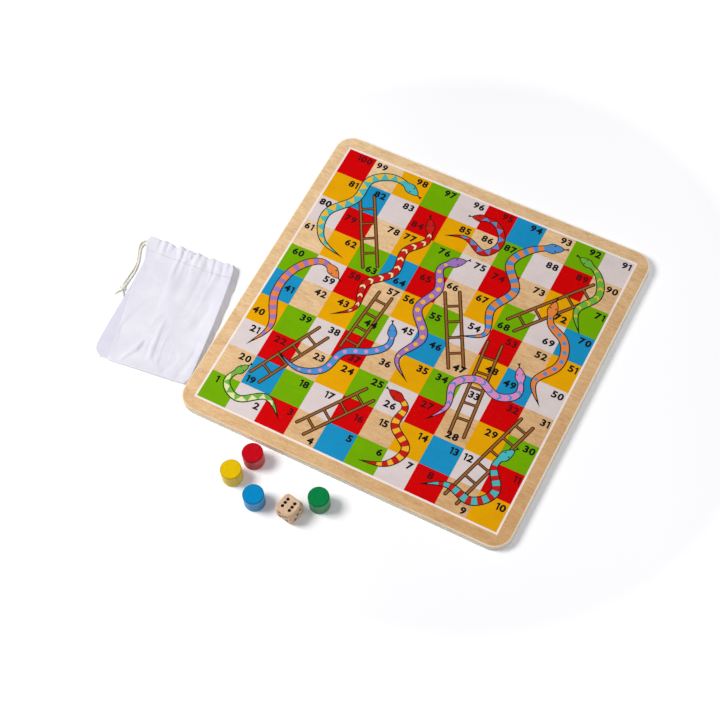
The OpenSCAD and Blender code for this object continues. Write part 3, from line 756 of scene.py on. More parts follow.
def make_printed_ink():
    """Screen-printed ink over wood grain."""
    tree, given = start_group("printed_ink", Place=("Vector", (0, 0, 0)),
                              Ink=("Color", srgb("#D60106")), Cover=("Float", 0.93))
    figure = use_group(tree, wood_figure, {"Place": given["Place"], **UNDER_INK})
    cloud = noise(tree, given["Place"], *INK_CLOUDS)
    pinhole = ranged(tree, noise(tree, given["Place"], *PINHOLES), 0.76, 0.8)
    toned = mixed(tree, ranged(tree, cloud, 0.3, 0.7, 0.0, 0.07), given["Ink"], BLACK)
    shown = mixed(tree, sums(tree, "SUBTRACT", 1.0, given["Cover"]), toned,
                  mixed(tree, 1.0, toned, figure["Color"], "MULTIPLY"))
    bare = mixed(tree, sums(tree, "MULTIPLY", pinhole, 0.35), shown, srgb("#D8B98E"))
    height = sums(tree, "SUBTRACT", sums(tree, "MULTIPLY", figure["Height"], 0.5), pinhole)
    return end_group(tree, Color=bare, Height=height,
                     Roughness=ranged(tree, cloud, 0.3, 0.7, 0.36, 0.48))


printed_ink = make_printed_ink()
print("ink group has", len(printed_ink.nodes), "nodes")

# %% Inks of the field
INK_RELIEF = 0.012 * MM
FIELD_INKS = {"squares_white": "#E2D5D2", "squares_red": "#D50003", "squares_yellow": "#ECA900",
              "squares_green": "#73AF00", "squares_blue": "#1993C6", "frame_line": "#FBEDE6",
              "ladder_outlines": "#2E1508", "ladders": "#9C6534", "snake_outlines": "#1C0E0A",
              "snake_eyes": "#15100E"}
SNAKE_INKS = {"red": "#CB1D18", "orange": "#EC8740", "green": "#6FB644", "teal": "#4BBBC0",
              "blue": "#4E93D6", "purple": "#A378BE", "pink": "#DE92C6", "yellow": "#F3BB2C",
              "cream": "#EBE7AE"}


def ink(name, code, cover=0.84):
    """One ink of the print."""
    material, tree, shader = start_material(name, Specular_IOR_Level=0.05)
    look = use_group(tree, printed_ink, {"Place": place_of(tree), "Ink": srgb(code),
                                         "Cover": cover})
    finish(tree, shader, look["Color"], look["Roughness"], look["Height"], INK_RELIEF)
    return material


for node, code in FIELD_INKS.items():
    dress(node, ink("ink_of_" + node, code))
for colour, code in SNAKE_INKS.items():
    snake_ink = ink("ink_of_snakes_" + colour, code)
    for node in ("snakes_" + colour, "marks_" + colour):
        if node in nodes:
            dress(node, snake_ink)
print(len(FIELD_INKS) + len(SNAKE_INKS), "inks")

# %% [markdown]
# ## Square numbers
# Every square carries its number, 1 to 100, in a bold plain sans near its upper right corner. The
# rows run to the right and to the left in turn. A ray straight down finds the level of the print
# at a point, so a number can look for the place nearest its corner where no ladder or snake
# passes. Where its square has no such place, the number's ink lies on top of the ladder or snake.
# %% Levels of the print
INK_T = 0.05 * MM
BOARD_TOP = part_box("face_veneer")[1][2]
RAY_START = 0.05
PRINTED = ("ladder", "snake", "marks", "squares", "face")


def rays_over(names):
    """A tree for rays that meet the named pieces of the frame."""
    points, faces = [], []
    for name in names:
        start, mesh = len(points), nodes[name].data
        points += [v.co.copy() for v in mesh.vertices]
        faces += [[start + i for i in p.vertices] for p in mesh.polygons]
    return BVHTree.FromPolygons(points, faces)


def hit_under(tree, point):
    """Where a ray straight down at a point meets the tree's pieces, or None."""
    return tree.ray_cast(Vector((point[0], point[1], RAY_START)), Vector((0, 0, -1)))[0]


levels = rays_over([name for name in nodes if name.startswith(PRINTED)])
red_ink = rays_over(["squares_red"])
print("print level at the first square", round(hit_under(levels, (-0.13, -0.13)).z, 5))

# %% [markdown]
# Blender's text object gives real outlines: each digit is made thicker by a small offset and
# turned into a mesh once, and the numbers are set from those, all of one height and with the same
# margins. Two digits are made in another way. The 9 is the 6 turned half round, as in many plain
# faces. The 1 is drawn from listed points, because its flag closes up when the outline is
# thickened.
# %% Digits
NUMBER_H = 6.5 * MM
NUMBER_BOLD = 0.04
NUMBER_WIDEN = 1.16
CURVE_STEPS = 4
ONE = [(0.16, 0), (0.34, 0), (0.34, 1), (0.17, 1), (0.16, 0.77), (0, 0.87), (0, 0.68)]
ONE_FACES = [(0, 1, 2, 3, 4), (4, 3, 5, 6)]


def digit_outline(digit):
    """The flat mesh of one digit, as points and faces, with its lower left corner at 0."""
    if digit == "1":
        return np.array(ONE) * NUMBER_H * (NUMBER_WIDEN, 1), ONE_FACES
    text = bpy.data.curves.new("digit", "FONT")
    text.body = "6" if digit == "9" else digit
    text.offset = NUMBER_BOLD
    text.resolution_u = CURVE_STEPS
    holder = bpy.data.objects.new("digit", text)
    mesh = bpy.data.meshes.new_from_object(holder)
    points = np.array([v.co[:2] for v in mesh.vertices])
    faces = [tuple(p.vertices) for p in mesh.polygons]
    bpy.data.objects.remove(holder)
    bpy.data.curves.remove(text)
    bpy.data.meshes.remove(mesh)
    if digit == "9":
        points = -points
    points -= points.min(axis=0)
    return points * NUMBER_H / points[:, 1].max() * (NUMBER_WIDEN, 1), faces


digits = {digit: digit_outline(digit) for digit in "0123456789"}
print("digits are", [round(float(p[:, 0].max()) / MM, 1) for p, _ in digits.values()], "mm wide")

# %% Places of the numbers
PITCH = 27.5 * MM
FIELD_HALF = 5 * PITCH
NUMBER_MARGIN = Vector((2.4, 2.6)) * MM
CLEAR = 0.7 * MM
PICTURE_LEVEL = BOARD_TOP + 1.5 * INK_T
PLACES_TRIED, PROBES = (5, 7), (7, 5)


def square_corner(n):
    """Upper right corner of the square with that number."""
    row, step = divmod(n - 1, 10)
    column = step if row % 2 == 0 else 9 - step
    return Vector(((column + 1) * PITCH - FIELD_HALF, (row + 1) * PITCH - FIELD_HALF))


def free_place(n, size):
    """Upper right corner for a number of that size where the fewest points lie on a picture."""
    room = np.maximum(PITCH - size - 2 * np.array(NUMBER_MARGIN), 0)
    across, down = np.meshgrid(*[np.linspace(0, far, count)
                                 for far, count in zip(room, PLACES_TRIED)])
    order = np.argsort((across + down).ravel(), kind="stable")
    xs, ys = [np.linspace(-side - CLEAR, CLEAR, count) for side, count in zip(size, PROBES)]
    best = None
    for left, low in zip(across.ravel()[order], down.ravel()[order]):
        corner = np.array(square_corner(n) - NUMBER_MARGIN) - (left, low)
        on_picture = sum(hit_under(levels, corner + (dx, dy)).z > PICTURE_LEVEL
                         for dx in xs for dy in ys)
        if best is None or on_picture < best[0]:
            best = (on_picture, corner)
        if on_picture == 0:
            break
    return best[1]


first_end = free_place(1, np.array([2, 6]) * MM)
print("2 by 6 mm in the first square would end at", np.round(first_end / MM, 1).tolist(), "mm")

# %% Numbers
DIGIT_GAP = 0.75 * MM
NUMBER_COVER = 0.9


def number_outline(n):
    """The digits of one number side by side."""
    parts, start = [], 0.0
    for digit in str(n):
        points, faces = digits[digit]
        parts.append((points + (start, 0), faces))
        start += points[:, 0].max() + DIGIT_GAP
    return together(parts)


def solid_number(n):
    """One number as a thin slab from the veneer up to just over the print below it."""
    flat, faces = number_outline(n)
    flat = flat + (free_place(n, flat.max(axis=0)) - flat.max(axis=0))
    probes = np.vstack([flat] + [flat[list(face)].mean(axis=0)[None] for face in faces])
    under = max(hit_under(levels, p).z for p in probes)
    count = len(flat)
    low = np.column_stack([flat, np.full(count, BOARD_TOP)])
    high = np.column_stack([flat, np.full(count, under + INK_T / 2)])
    edges = dict.fromkeys(edge for face in faces for edge in zip(face, face[1:] + face[:1]))
    walls = [(a, b, b + count, a + count) for a, b in edges if (b, a) not in edges]
    tops = [tuple(i + count for i in face) for face in faces]
    bottoms = [tuple(reversed(face)) for face in faces]
    on_red = hit_under(red_ink, probes.mean(axis=0)) is not None
    return (np.vstack([low, high]), tops + walls + bottoms), on_red


numbers = {False: [], True: []}
for n in range(1, 101):
    part, on_red = solid_number(n)
    numbers[on_red].append(part)
for on_red, name, code in ((False, "square_numbers", "#120E10"),
                           (True, "square_numbers_on_red", "#5A0A12")):
    piece = new_piece(name, *together(numbers[on_red]), smooth=False)
    piece.data.materials.append(ink("ink_of_" + name, code, NUMBER_COVER))
    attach(piece, "board")
    print(name, len(numbers[on_red]), "numbers,", len(piece.data.polygons), "faces")

# %% [markdown]
# ## Painted counters
# The counters are turned from dowel and dipped in paint: an even semi-gloss skin with a few long
# streaks on the top, and darker in a thin ring round the rim of the top. Pale bands low on the side
# are a painted sheen, the white table's reflection, laid in rings like the turning marks. The group
# works round each counter's own axis.
# %% Paint group
RIM_IN, RIM_DOWN = (0.2 * MM, 1.1 * MM), (0.0, 0.7 * MM)
SIDE_SHEEN_DOWN = (0.8 * MM, 2.2 * MM)
LONG_STREAKS = ((900, 130, 60), 3.0, 0.6)


def make_turned_paint():
    """Paint on a turned piece whose axis stands on the given centre, and its painted side sheen."""
    tree, given = start_group(
        "turned_paint", Place=("Vector", (0, 0, 0)), Centre=("Vector", (0, 0, 0)),
        Paint=("Color", srgb("#CC0514")), Radius=("Float", 0.0085), Top=("Float", 0.0165))
    local = vectors(tree, "SUBTRACT", given["Place"], given["Centre"])
    z = parts_of(tree, local)[2]
    from_axis = length_of(tree, vectors(tree, "MULTIPLY", local, (1, 1, 0)))
    from_side = sums(tree, "SUBTRACT", given["Radius"], from_axis)
    from_top = sums(tree, "SUBTRACT", given["Top"], z)
    near_side = ranged(tree, from_side, *RIM_IN, 1, 0)
    # darker in a thin ring round the rim of the top
    rim_share = sums(tree, "MULTIPLY", near_side, ranged(tree, from_top, *RIM_DOWN, 1, 0))
    streaks = noise(tree, local, *LONG_STREAKS)
    sheen_bands = noise(tree, add(tree, "CombineXYZ", {"Z": z})[0], 300.0, 2.0)
    # pale bands low on the side: a painted sheen, the white table's reflection
    painted_side_sheen = sums(tree, "MULTIPLY", near_side, ranged(tree, from_top, *SIDE_SHEEN_DOWN),
                   ranged(tree, sheen_bands, 0.38, 0.66, 0.04, 0.14))
    paler_streaks_and_sheen = sums(tree, "ADD", ranged(tree, streaks, 0.2, 0.42, 0.012, 0), painted_side_sheen)
    darker = sums(tree, "ADD", ranged(tree, streaks, 0.45, 0.75, 0, 0.16),
                  sums(tree, "MULTIPLY", rim_share, 0.4))
    rings = noise(tree, add(tree, "CombineXYZ", {"X": from_axis, "Z": z})[0], 1500.0, 2.0)
    height = sums(tree, "ADD", sums(tree, "MULTIPLY", rings, 0.6),
                  sums(tree, "MULTIPLY", noise(tree, local, 900.0, 1.0), 0.4))
    colour = mixed(tree, darker, mixed(tree, paler_streaks_and_sheen, given["Paint"], WHITE), BLACK)
    return end_group(tree, Color=colour, Height=height,
                     Roughness=ranged(tree, streaks, 0.2, 0.8, 0.3, 0.42))


turned_paint = make_turned_paint()
print("paint group has", len(turned_paint.nodes), "nodes")

# %% Counters
PAINT_RELIEF = 0.02 * MM
COUNTER_PAINTS = {"red": "#C30417", "yellow": "#E4BC00", "blue": "#0287C3", "green": "#028042"}
for colour, code in COUNTER_PAINTS.items():
    low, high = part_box("counter_" + colour)
    material, tree, shader = start_material("paint_" + colour, Specular_IOR_Level=0.05,
                                            Coat_Weight=0.02, Coat_Roughness=0.25)
    look = use_group(tree, turned_paint, {
        "Place": place_of(tree), "Paint": srgb(code),
        "Centre": ((low[0] + high[0]) / 2, (low[1] + high[1]) / 2, low[2]),
        "Radius": (high[0] - low[0]) / 2, "Top": high[2] - low[2]})
    finish(tree, shader, look["Color"], look["Roughness"], look["Height"], PAINT_RELIEF)
    dress("counter_" + colour, material)
print(len(COUNTER_PAINTS), "counters")

# %% Pips of the die
pip_paint, tree, shader = start_material("pip_paint", Specular_IOR_Level=0.06)
worn = noise(tree, place_of(tree), 1400.0, 3.0, 0.6)
pip_colour = mixed(tree, ranged(tree, worn, 0.6, 0.8, 0, 0.2), srgb("#090706"), srgb("#33261D"))
finish(tree, shader, pip_colour, ranged(tree, worn, 0.3, 0.7, 0.3, 0.5), worn, PAINT_RELIEF)
dress("die_pips", pip_paint)
print("pips are painted")

# %% [markdown]
# ## Cotton
# The bag is plain-woven cotton, in which each thread goes over one and under the next. Two rows of
# rounded threads, square to one another, change places in a chequer: that is the weave's height.
# Now and then a thread is thicker, which makes the slubs that tell cotton from nylon. The
# drawstring is of the same yarn, so it gets the fine fuzz without the weave.
# %% Cotton weave group
THREAD_W = 0.45 * MM
WARP, WEFT = (1100, 45, 45), (45, 1100, 45)
SLUBS = (0.62, 0.8)


def make_cotton_weave():
    """Height of a plain weave that lies along X and Y, and the shade painted into its hollows."""
    tree, given = start_group("cotton_weave", Place=("Vector", (0, 0, 0)),
                              Thread=("Float", THREAD_W), Turn=("Float", BAG_TURN))
    flat = turned_about_z(tree, given["Place"], given["Turn"], invert=True)
    waves = []
    for side in parts_of(tree, flat)[:2]:
        turn = sums(tree, "MULTIPLY", sums(tree, "DIVIDE", side, given["Thread"]), math.pi)
        waves.append(sums(tree, "SINE", turn))
    over = ranged(tree, sums(tree, "MULTIPLY", *waves), -0.15, 0.15)
    threads = [sums(tree, "ABSOLUTE", wave) for wave in waves]
    woven = add(tree, "Mix", {0: over, 2: threads[0], 3: threads[1]})[0]
    slub = sums(tree, "ADD", *[ranged(tree, noise(tree, flat, drawn, 2.0), *SLUBS)
                               for drawn in (WARP, WEFT)])
    height = sums(tree, "ADD", woven, sums(tree, "MULTIPLY", slub, 0.8))
    # painted shade: darker in the hollows between threads, lighter on the raised slubs
    shade = sums(tree, "ADD", sums(tree, "MULTIPLY", woven, 0.5),
                 sums(tree, "MULTIPLY", slub, 0.25))
    return end_group(tree, Height=height, Shade=shade)


cotton_weave = make_cotton_weave()
print("weave group has", len(cotton_weave.nodes), "nodes")

# %% Cotton of the bag
WEAVE_RELIEF = 0.07 * MM


def cotton(name, pale, dark):
    """Bleached cotton cloth."""
    material, tree, shader = start_material(name, Specular_IOR_Level=0.2, Sheen_Weight=0.25,
                                            Sheen_Roughness=0.5)
    weave = use_group(tree, cotton_weave, {"Place": place_of(tree)})
    soft = noise(tree, place_of(tree), 55.0, 4.0, 0.6)
    # the weave's painted shade and random clouds of tone darken the cloth
    weave_shade_and_clouds = sums(tree, "ADD", ranged(tree, weave["Shade"], 0.0, 0.6, 0.35, 0.0),
                     ranged(tree, soft, 0.35, 0.7, 0.0, 0.25))
    finish(tree, shader, mixed(tree, weave_shade_and_clouds, srgb(pale), srgb(dark)),
           ranged(tree, soft, 0.3, 0.7, 0.82, 0.92), weave["Height"], WEAVE_RELIEF)
    return material


bag_cotton = cotton("bag_cotton", "#EDEDF4", "#CBC9D8")
# the lower panel is the same cotton in darker tones, as painted shade
shaded_lower_cotton = cotton("bag_cotton_below_shaded", "#E4E2EE", "#C2C0D0")
print("cottons:", bag_cotton.name, shaded_lower_cotton.name)

# %% Drawstring yarn
YARN_RELIEF = 0.08 * MM
drawstring_cotton, tree, shader = start_material("drawstring_cotton", Specular_IOR_Level=0.2,
                                                 Sheen_Weight=0.4, Sheen_Roughness=0.5)
fuzz = noise(tree, place_of(tree), 2400.0, 3.0, 0.7)
soft = noise(tree, place_of(tree), 300.0, 2.0)
pale_share = ranged(tree, sums(tree, "MULTIPLY", fuzz, soft), 0.15, 0.4)
finish(tree, shader, mixed(tree, pale_share, srgb("#E6E2CE"), srgb("#FAF8EE")),
       ranged(tree, fuzz, 0.3, 0.7, 0.8, 0.95), fuzz, YARN_RELIEF)
for piece in [*cords.values(), knot]:
    piece.data.materials.append(drawstring_cotton)
print("drawstring is dressed")

# %% [markdown]
# ## Bag
# The bag lies flat and empty. It is one cut of cotton, sewn at the sides and the foot, and its
# mouth is turned over into a hem for the drawstring. The hem is drawn in a little, so the cloth
# below it has more width than room and falls into gathers that fade away down the bag. That is
# just what a cloth simulation is for: the sheet starts where the bag lies, its rest shape is the
# wider flat cut, and its edges are held. The spare cloth has to go somewhere, and it makes the
# folds by itself.
# %% Outline of the bag
# Each table gives a side's place across the bag, as a share of its width, at shares along it
BAG_W, BAG_L, HEM = 84.0, 118.0, 12.0
STITCH = 1 - HEM / BAG_L
LOWER_LEFT = [(0, -0.95), (0.03, -1.03), (0.08, -1.05), (0.3, -1.05), (0.6, -1.04), (0.8, -1.045),
              (0.9, -1.09), (0.96, -1.13), (1, -1.11)]
UPPER_LEFT = [(0, -0.86), (0.25, -0.92), (0.47, -0.98), (0.62, -1.02), (0.8, -1.04), (0.9, -1.09),
              (0.96, -1.125), (1, -1.11)]
RIGHT = [(0, -0.03), (0.05, 0.005), (0.25, -0.01), (0.5, -0.035), (0.7, -0.065), (0.9, -0.1),
         (0.97, -0.12), (1, -0.145)]
FOOT_Y, MOUTH_Y = (-0.058, -0.03), (0.975, 0.958)
CURVE_POINTS, CURVE_PASSES = 401, 60


def table_curve(table, v):
    """A smooth reading of a table of places along the bag."""
    fine = np.linspace(0, 1, CURVE_POINTS)
    value = np.interp(fine, *np.array(table, float).T)
    for _ in range(CURVE_PASSES):
        value[1:-1] = (value[:-2] + value[1:-1] + value[2:]) / 3
    return np.interp(v, fine, value)


def bag_plan(u, v, left_table):
    """Places on the table, in millimetres in the bag's frame, at shares across and along it."""
    left, right = table_curve(left_table, v), table_curve(RIGHT, v)
    low = FOOT_Y[0] * (1 - v) + MOUTH_Y[0] * v
    high = FOOT_Y[1] * (1 - v) + MOUTH_Y[1] * v
    return BAG_W * (left + (right - left) * u), BAG_L * (low + (high - low) * u)


ACROSS, ALONG = 100, 140
u, v = np.meshgrid(np.linspace(0, 1, ACROSS), np.linspace(0, 1, ALONG))
x, y = bag_plan(u, v, UPPER_LEFT)
print("the upper panel spans", np.round([x.min(), x.max(), y.min(), y.max()], 1).tolist(), "mm")

# %% [markdown]
# The sheet starts as a low cushion: its left side lies folded on the lower panel, its right side
# stands up over the seam, and the mouth and the foot are lower than the middle. A few shallow
# waves under the mouth tell the cloth where to gather.
# %% Start of the upper panel
LEFT_Z, SWELL = 2.1, 2.2
LEFT_SOFT, FOOT_SOFT, MOUTH_SOFT = 9, (4, 2), (5, 2.5)
RIGHT_Z = [(0, 3.2), (0.5, 6.0), (1, 7.0)]
RIGHT_SLOPE = 13
GATHER_SEED, GATHERS_SEEDED = 0.4, 9
SEED_POWER, SEED_SOFT = 8, 3


def rise(distance, soft, ahead=0):
    """A rounded climb towards 1 with distance from an edge, begun some way before the edge."""
    return 1 - np.exp(-(distance + ahead) / soft)


from_left, from_right = u * BAG_W, (1 - u) * BAG_W
from_foot, from_mouth = v * BAG_L, (1 - v) * BAG_L
swell = (SWELL * rise(from_left, LEFT_SOFT) * rise(from_foot, *FOOT_SOFT)
         * rise(from_mouth, *MOUTH_SOFT))
at_right = np.exp(-from_right / RIGHT_SLOPE)
cushion = (LEFT_Z + swell) * (1 - at_right) + np.interp(v, *np.array(RIGHT_Z).T) * at_right
seeds = GATHER_SEED * np.sin(GATHERS_SEEDED * 2 * math.pi * u) * v ** SEED_POWER
seeds = seeds * rise(from_left, SEED_SOFT) * rise(from_right, SEED_SOFT)
start_shape = np.stack([x, y, cushion + seeds], axis=-1)
print("start of the sheet is", round(float(start_shape[..., 2].max()), 2), "mm high")

# %% [markdown]
# The flat cut is a plain rectangle, 12% wider than the bag where it is gathered. Blender's cloth
# behaves best at the size of a garment, so the sheet is simulated ten times as large and brought
# back. The edges are held where they start, and the rest is free to move.
# %% Flat cut of the upper panel
CUT_SPARE = {"foot": 1.02, "middle": 1.045, "stitch": 1.12}
LENGTH_SPARE = 1.012


def cut_shape():
    """The flat rectangle that the upper panel was cut as, wider where it is gathered."""
    width = np.abs(x[:, -1] - x[:, 0])
    spare = np.interp(v[:, 0], [0, 0.5, STITCH, 1],
                      [CUT_SPARE[place] for place in ("foot", "middle", "stitch", "stitch")])
    flat_x = (u - 0.5) * (width * spare)[:, None]
    flat_y = v * BAG_L * LENGTH_SPARE
    return np.stack([flat_x, flat_y, np.zeros_like(flat_x)], axis=-1)


flat_cut = cut_shape()
print("the flat cut is up to", round(float(np.ptp(flat_cut[..., 0], axis=1).max()), 1), "mm wide")

# %% Cloth simulation of the upper panel
SIM_SCALE = 10
SIM_FRAMES = 26
LOWER_T = 1.1
CLOTH_GAP = 0.002
CLOTH_FACTS = {"quality": 6, "mass": 0.15, "tension_stiffness": 18, "compression_stiffness": 18,
               "shear_stiffness": 6, "bending_stiffness": 0.4, "air_damping": 3}


def settle(start, cut, held):
    """The sheet after Blender's cloth has let its spare width fall into folds."""
    sheet = new_piece("bag_sheet_in_the_making", start.reshape(-1, 3) * MM * SIM_SCALE,
                      grid_faces(*start.shape[:2]))
    sheet.shape_key_add(name="Basis")
    flat_key = sheet.shape_key_add(name="flat_cut")
    flat_key.data.foreach_set("co", (cut * MM * SIM_SCALE).astype(np.float32).ravel())
    group = sheet.vertex_groups.new(name="held")
    group.add([int(i) for i in np.flatnonzero(held)], 1.0, "REPLACE")
    corners = [(-2, -2), (2, -2), (2, 4), (-2, 4)]
    below = new_piece("board_in_the_making", [(*c, LOWER_T * MM * SIM_SCALE) for c in corners],
                      [(0, 1, 2, 3)])
    below.modifiers.new("stop", "COLLISION")
    below.collision.thickness_outer = CLOTH_GAP
    cloth = sheet.modifiers.new("cloth", "CLOTH")
    for name, value in CLOTH_FACTS.items():
        setattr(cloth.settings, name, value)
    cloth.settings.vertex_group_mass = "held"
    cloth.settings.rest_shape_key = flat_key
    cloth.collision_settings.distance_min = CLOTH_GAP
    cloth.point_cache.frame_start, cloth.point_cache.frame_end = 1, SIM_FRAMES
    for frame_number in range(1, SIM_FRAMES + 1):
        scene.frame_set(frame_number)
    done = sheet.evaluated_get(bpy.context.evaluated_depsgraph_get()).to_mesh()
    points = np.array([vertex.co[:] for vertex in done.vertices])
    scene.frame_set(1)
    for made in (sheet, below):
        bpy.data.objects.remove(made)
    return points.reshape(start.shape) / MM / SIM_SCALE


held = np.zeros((ALONG, ACROSS), bool)
held[[0, -1], :] = True
held[:, [0, -1]] = True
settled = settle(start_shape, flat_cut, held.ravel())
print("sheet moved by up to", round(float(np.abs(settled - start_shape).max()), 2), "mm")

# %% [markdown]
# Being packed and handled leaves sharper lines than a first fall of cloth: valleys that run down
# from the gathers, and a fan of creases from the middle to the foot. Each is a line on the bag
# with a depth and a width. Its cross-section is a valley with a low ridge on one side, the way a
# pressed crease looks.
# %% Lines of the creases
# Each line in the bag's frame, then its depth, its half width and its ridge's side
CREASES = [
    ([(-66, 104), (-63, 70), (-61, 42)], 0.75, 5.5, 1),
    ([(-49, 104), (-47, 75), (-46, 56)], 0.6, 4.5, 1),
    ([(-31, 104), (-30, 70), (-32, 44)], 0.75, 5.0, -1),
    ([(-18, 100), (-20, 72), (-22, 50)], 0.6, 4.0, 1),
    ([(-82.5, 120), (-81, 101.5), (-80.5, 96)], 0.9, 1.7, 1),
    ([(-75, 120), (-74.5, 104)], 0.5, 1.3, -1),
    ([(-69, 120), (-66, 102), (-68.5, 94), (-65, 75), (-63, 56)], 0.95, 3.2, 1),
    ([(-59, 120), (-57, 100), (-56, 89), (-56, 82)], 0.9, 1.8, -1),
    ([(-53, 120), (-53.5, 103)], 0.4, 1.2, 1),
    ([(-48, 120), (-50, 101), (-48, 93), (-46, 84)], 0.9, 1.8, 1),
    ([(-43, 120), (-42, 101)], 0.6, 1.5, -1),
    ([(-38, 120), (-31.5, 97), (-31, 84), (-29, 70), (-31, 60)], 0.95, 2.4, 1),
    ([(-29, 120), (-25.5, 97), (-25.5, 89), (-27, 80)], 0.8, 1.6, -1),
    ([(-22, 120), (-17.5, 98.5), (-17, 92)], 0.7, 1.5, 1),
    ([(-15, 120), (-13.5, 103)], 0.4, 1.2, -1),
    ([(-66, -3), (-59, 17), (-52, 26), (-48.5, 42.5), (-47, 52)], 0.9, 2.4, -1),
    ([(-50.5, 4.5), (-50, 22.5), (-47.5, 32)], 0.7, 1.8, 1),
    ([(-47, 30), (-47.7, 43), (-44.5, 50)], 0.7, 1.6, 1),
    ([(-36, 8), (-40.5, 38), (-42, 50)], 0.85, 2.2, 1),
    ([(-44.6, 6), (-46, 22), (-44, 34)], 0.65, 1.6, -1),
    ([(-28, 6), (-31, 24), (-30, 40)], 0.8, 2.6, 1),
    ([(-10.4, 1), (-6.5, 22.5), (-8, 36)], 0.8, 2.2, -1),
    ([(-76, 20), (-70, 36), (-66, 50)], 0.6, 3.0, 1),
    ([(-18, 46), (-14, 64), (-16, 80)], 0.8, 3.4, 1),
    ([(-60, -4), (-52, 8), (-40, 12)], 0.6, 2.0, 1),
    ([(-24, -1), (-20, 12), (-22, 22)], 0.6, 1.8, -1),
]
print(len(CREASES), "creases")

# %% Pressed creases
CREASE_DEPTH = 1.6
RIDGE_H, RIDGE_OFF, RIDGE_W = 0.45, 2.3, 1.5
FADE_OUT = 0.6
FADE_IN_BELOW, FADE_IN = 100, (3, 6)


def crease_height(x, y, line, deep, wide, side):
    """How far one pressed crease raises or lowers the cloth, in millimetres."""
    route = smooth_route([(a, b, 0) for a, b in line], 1.0)
    along, _, _ = route_frames(route)
    dx, dy = x[..., None] - route[:, 0], y[..., None] - route[:, 1]
    nearest = np.hypot(dx, dy).argmin(axis=-1)
    dx, dy = [np.take_along_axis(d, nearest[..., None], -1)[..., 0] for d in (dx, dy)]
    off = side * (along[nearest, 0] * dy - along[nearest, 1] * dx)
    past_end = np.abs(along[nearest, 0] * dx + along[nearest, 1] * dy)
    to_end = np.minimum(1, (len(route) - 1 - nearest) / (FADE_OUT * len(route)))
    starts_low = line[0][1] < FADE_IN_BELOW
    from_start = np.minimum(1, (nearest + FADE_IN[0]) / FADE_IN[1]) if starts_low else 1
    fade = np.sin(to_end * math.pi / 2) * from_start * np.exp(-(past_end / wide) ** 2)
    valley = np.exp(-(off / wide) ** 2)
    ridge = np.exp(-((off - RIDGE_OFF * wide) / (RIDGE_W * wide)) ** 2)
    return CREASE_DEPTH * deep * fade * (RIDGE_H * ridge - valley)


def crease_heights(x, y):
    """How far all the pressed creases together raise or lower the cloth."""
    return sum(crease_height(x, y, *crease) for crease in CREASES)


EDGE_CALM, FOOT_AHEAD = 1.5, 0.6
calm = (rise(from_left, EDGE_CALM) * rise(from_right, EDGE_CALM)
        * rise(from_foot, EDGE_CALM, FOOT_AHEAD))
settled[..., 2] += crease_heights(settled[..., 0], settled[..., 1]) * calm
print("creases reach", np.round([settled[..., 2].min(), settled[..., 2].max()], 2).tolist(), "mm")

# %% Hem line
# The mouth's edge is drawn in at the creases, the hem lies a little higher and its stitches dip
MOUTH_DRAW, MOUTH_DRAW_MAX, MOUTH_DRAW_REACH = 0.8, 0.3, 5
HEM_RISE, HEM_SLOPE = 0.2, 1.6
STITCH_DIP, STITCH_DIP_W, SEAM_SOFT = 0.12, 0.8, 2
drawn_in = np.minimum(crease_heights(x[-1], y[-1]), MOUTH_DRAW_MAX)
settled[..., 1] += drawn_in * MOUTH_DRAW * np.exp(-from_mouth / MOUTH_DRAW_REACH)
in_hem = np.clip((HEM - from_mouth) / HEM_SLOPE, 0, 1)
dip = STITCH_DIP * np.exp(-((from_mouth - HEM) / STITCH_DIP_W) ** 2) * rise(from_right, SEAM_SOFT)
settled[..., 2] += HEM_RISE * in_hem - dip
print("the mouth is drawn in by up to", round(float(-drawn_in.min() * MOUTH_DRAW), 2), "mm")

# %% [markdown]
# The settled sheet becomes the upper panel: its edges round over and run down to what lies below,
# so the bag has a soft side and not a cut one. The foot and the left side draw in under the round,
# and the right side spreads out over the seam. The part above the stitch line is the hem, a piece
# of its own. The lower panel is a thin flat cushion of two layers, which peeks out along the left
# side.
# %% Rounded edges
ROUND_R, ROUND_SHARE = 0.9, 0.45
ROUND_STEPS, SIDE_STEPS = 3, 3
LEAST_DROP = 0.05
DRAW_IN = -0.28
FLOOR = 0.3


def rim(edge, inner, floor, lean):
    """Rows of points that round over an edge and run down to the floor, leaning out or in."""
    out = edge[:, :2] - inner[:, :2]
    out /= np.maximum(np.linalg.norm(out, axis=1), 1e-9)[:, None]
    drop = np.maximum(edge[:, 2] - floor, LEAST_DROP)
    curve = np.minimum(ROUND_R, ROUND_SHARE * drop)
    places = [(curve * math.sin(a), curve * (1 - math.cos(a)))
              for a in np.linspace(0, math.pi / 2, ROUND_STEPS + 1)[1:]]
    places += [(curve + lean * t, curve + (drop - curve) * t)
               for t in np.linspace(0, 1, SIDE_STEPS + 1)[1:]]
    return [np.column_stack([edge[:, :2] + out * far[:, None], edge[:, 2] - down])
            for far, down in places]


def rolled(points, left_floor=FLOOR, spread=0.0):
    """A grid of points with rims added all round that curve out and down."""
    left = rim(points[:, 0], points[:, 1], left_floor, DRAW_IN * (points[:, 0, 2] - left_floor))
    right = rim(points[:, -1], points[:, -2], FLOOR, spread)
    wide = np.concatenate([np.stack(left[::-1], axis=1), points, np.stack(right, axis=1)], axis=1)
    foot, mouth = [rim(edge, inner, np.minimum(edge[:, 2], FLOOR), DRAW_IN * edge[:, 2])
                   for edge, inner in ((wide[0], wide[1]), (wide[-1], wide[-2]))]
    return np.concatenate([np.stack(foot[::-1]), wide, np.stack(mouth)], axis=0)


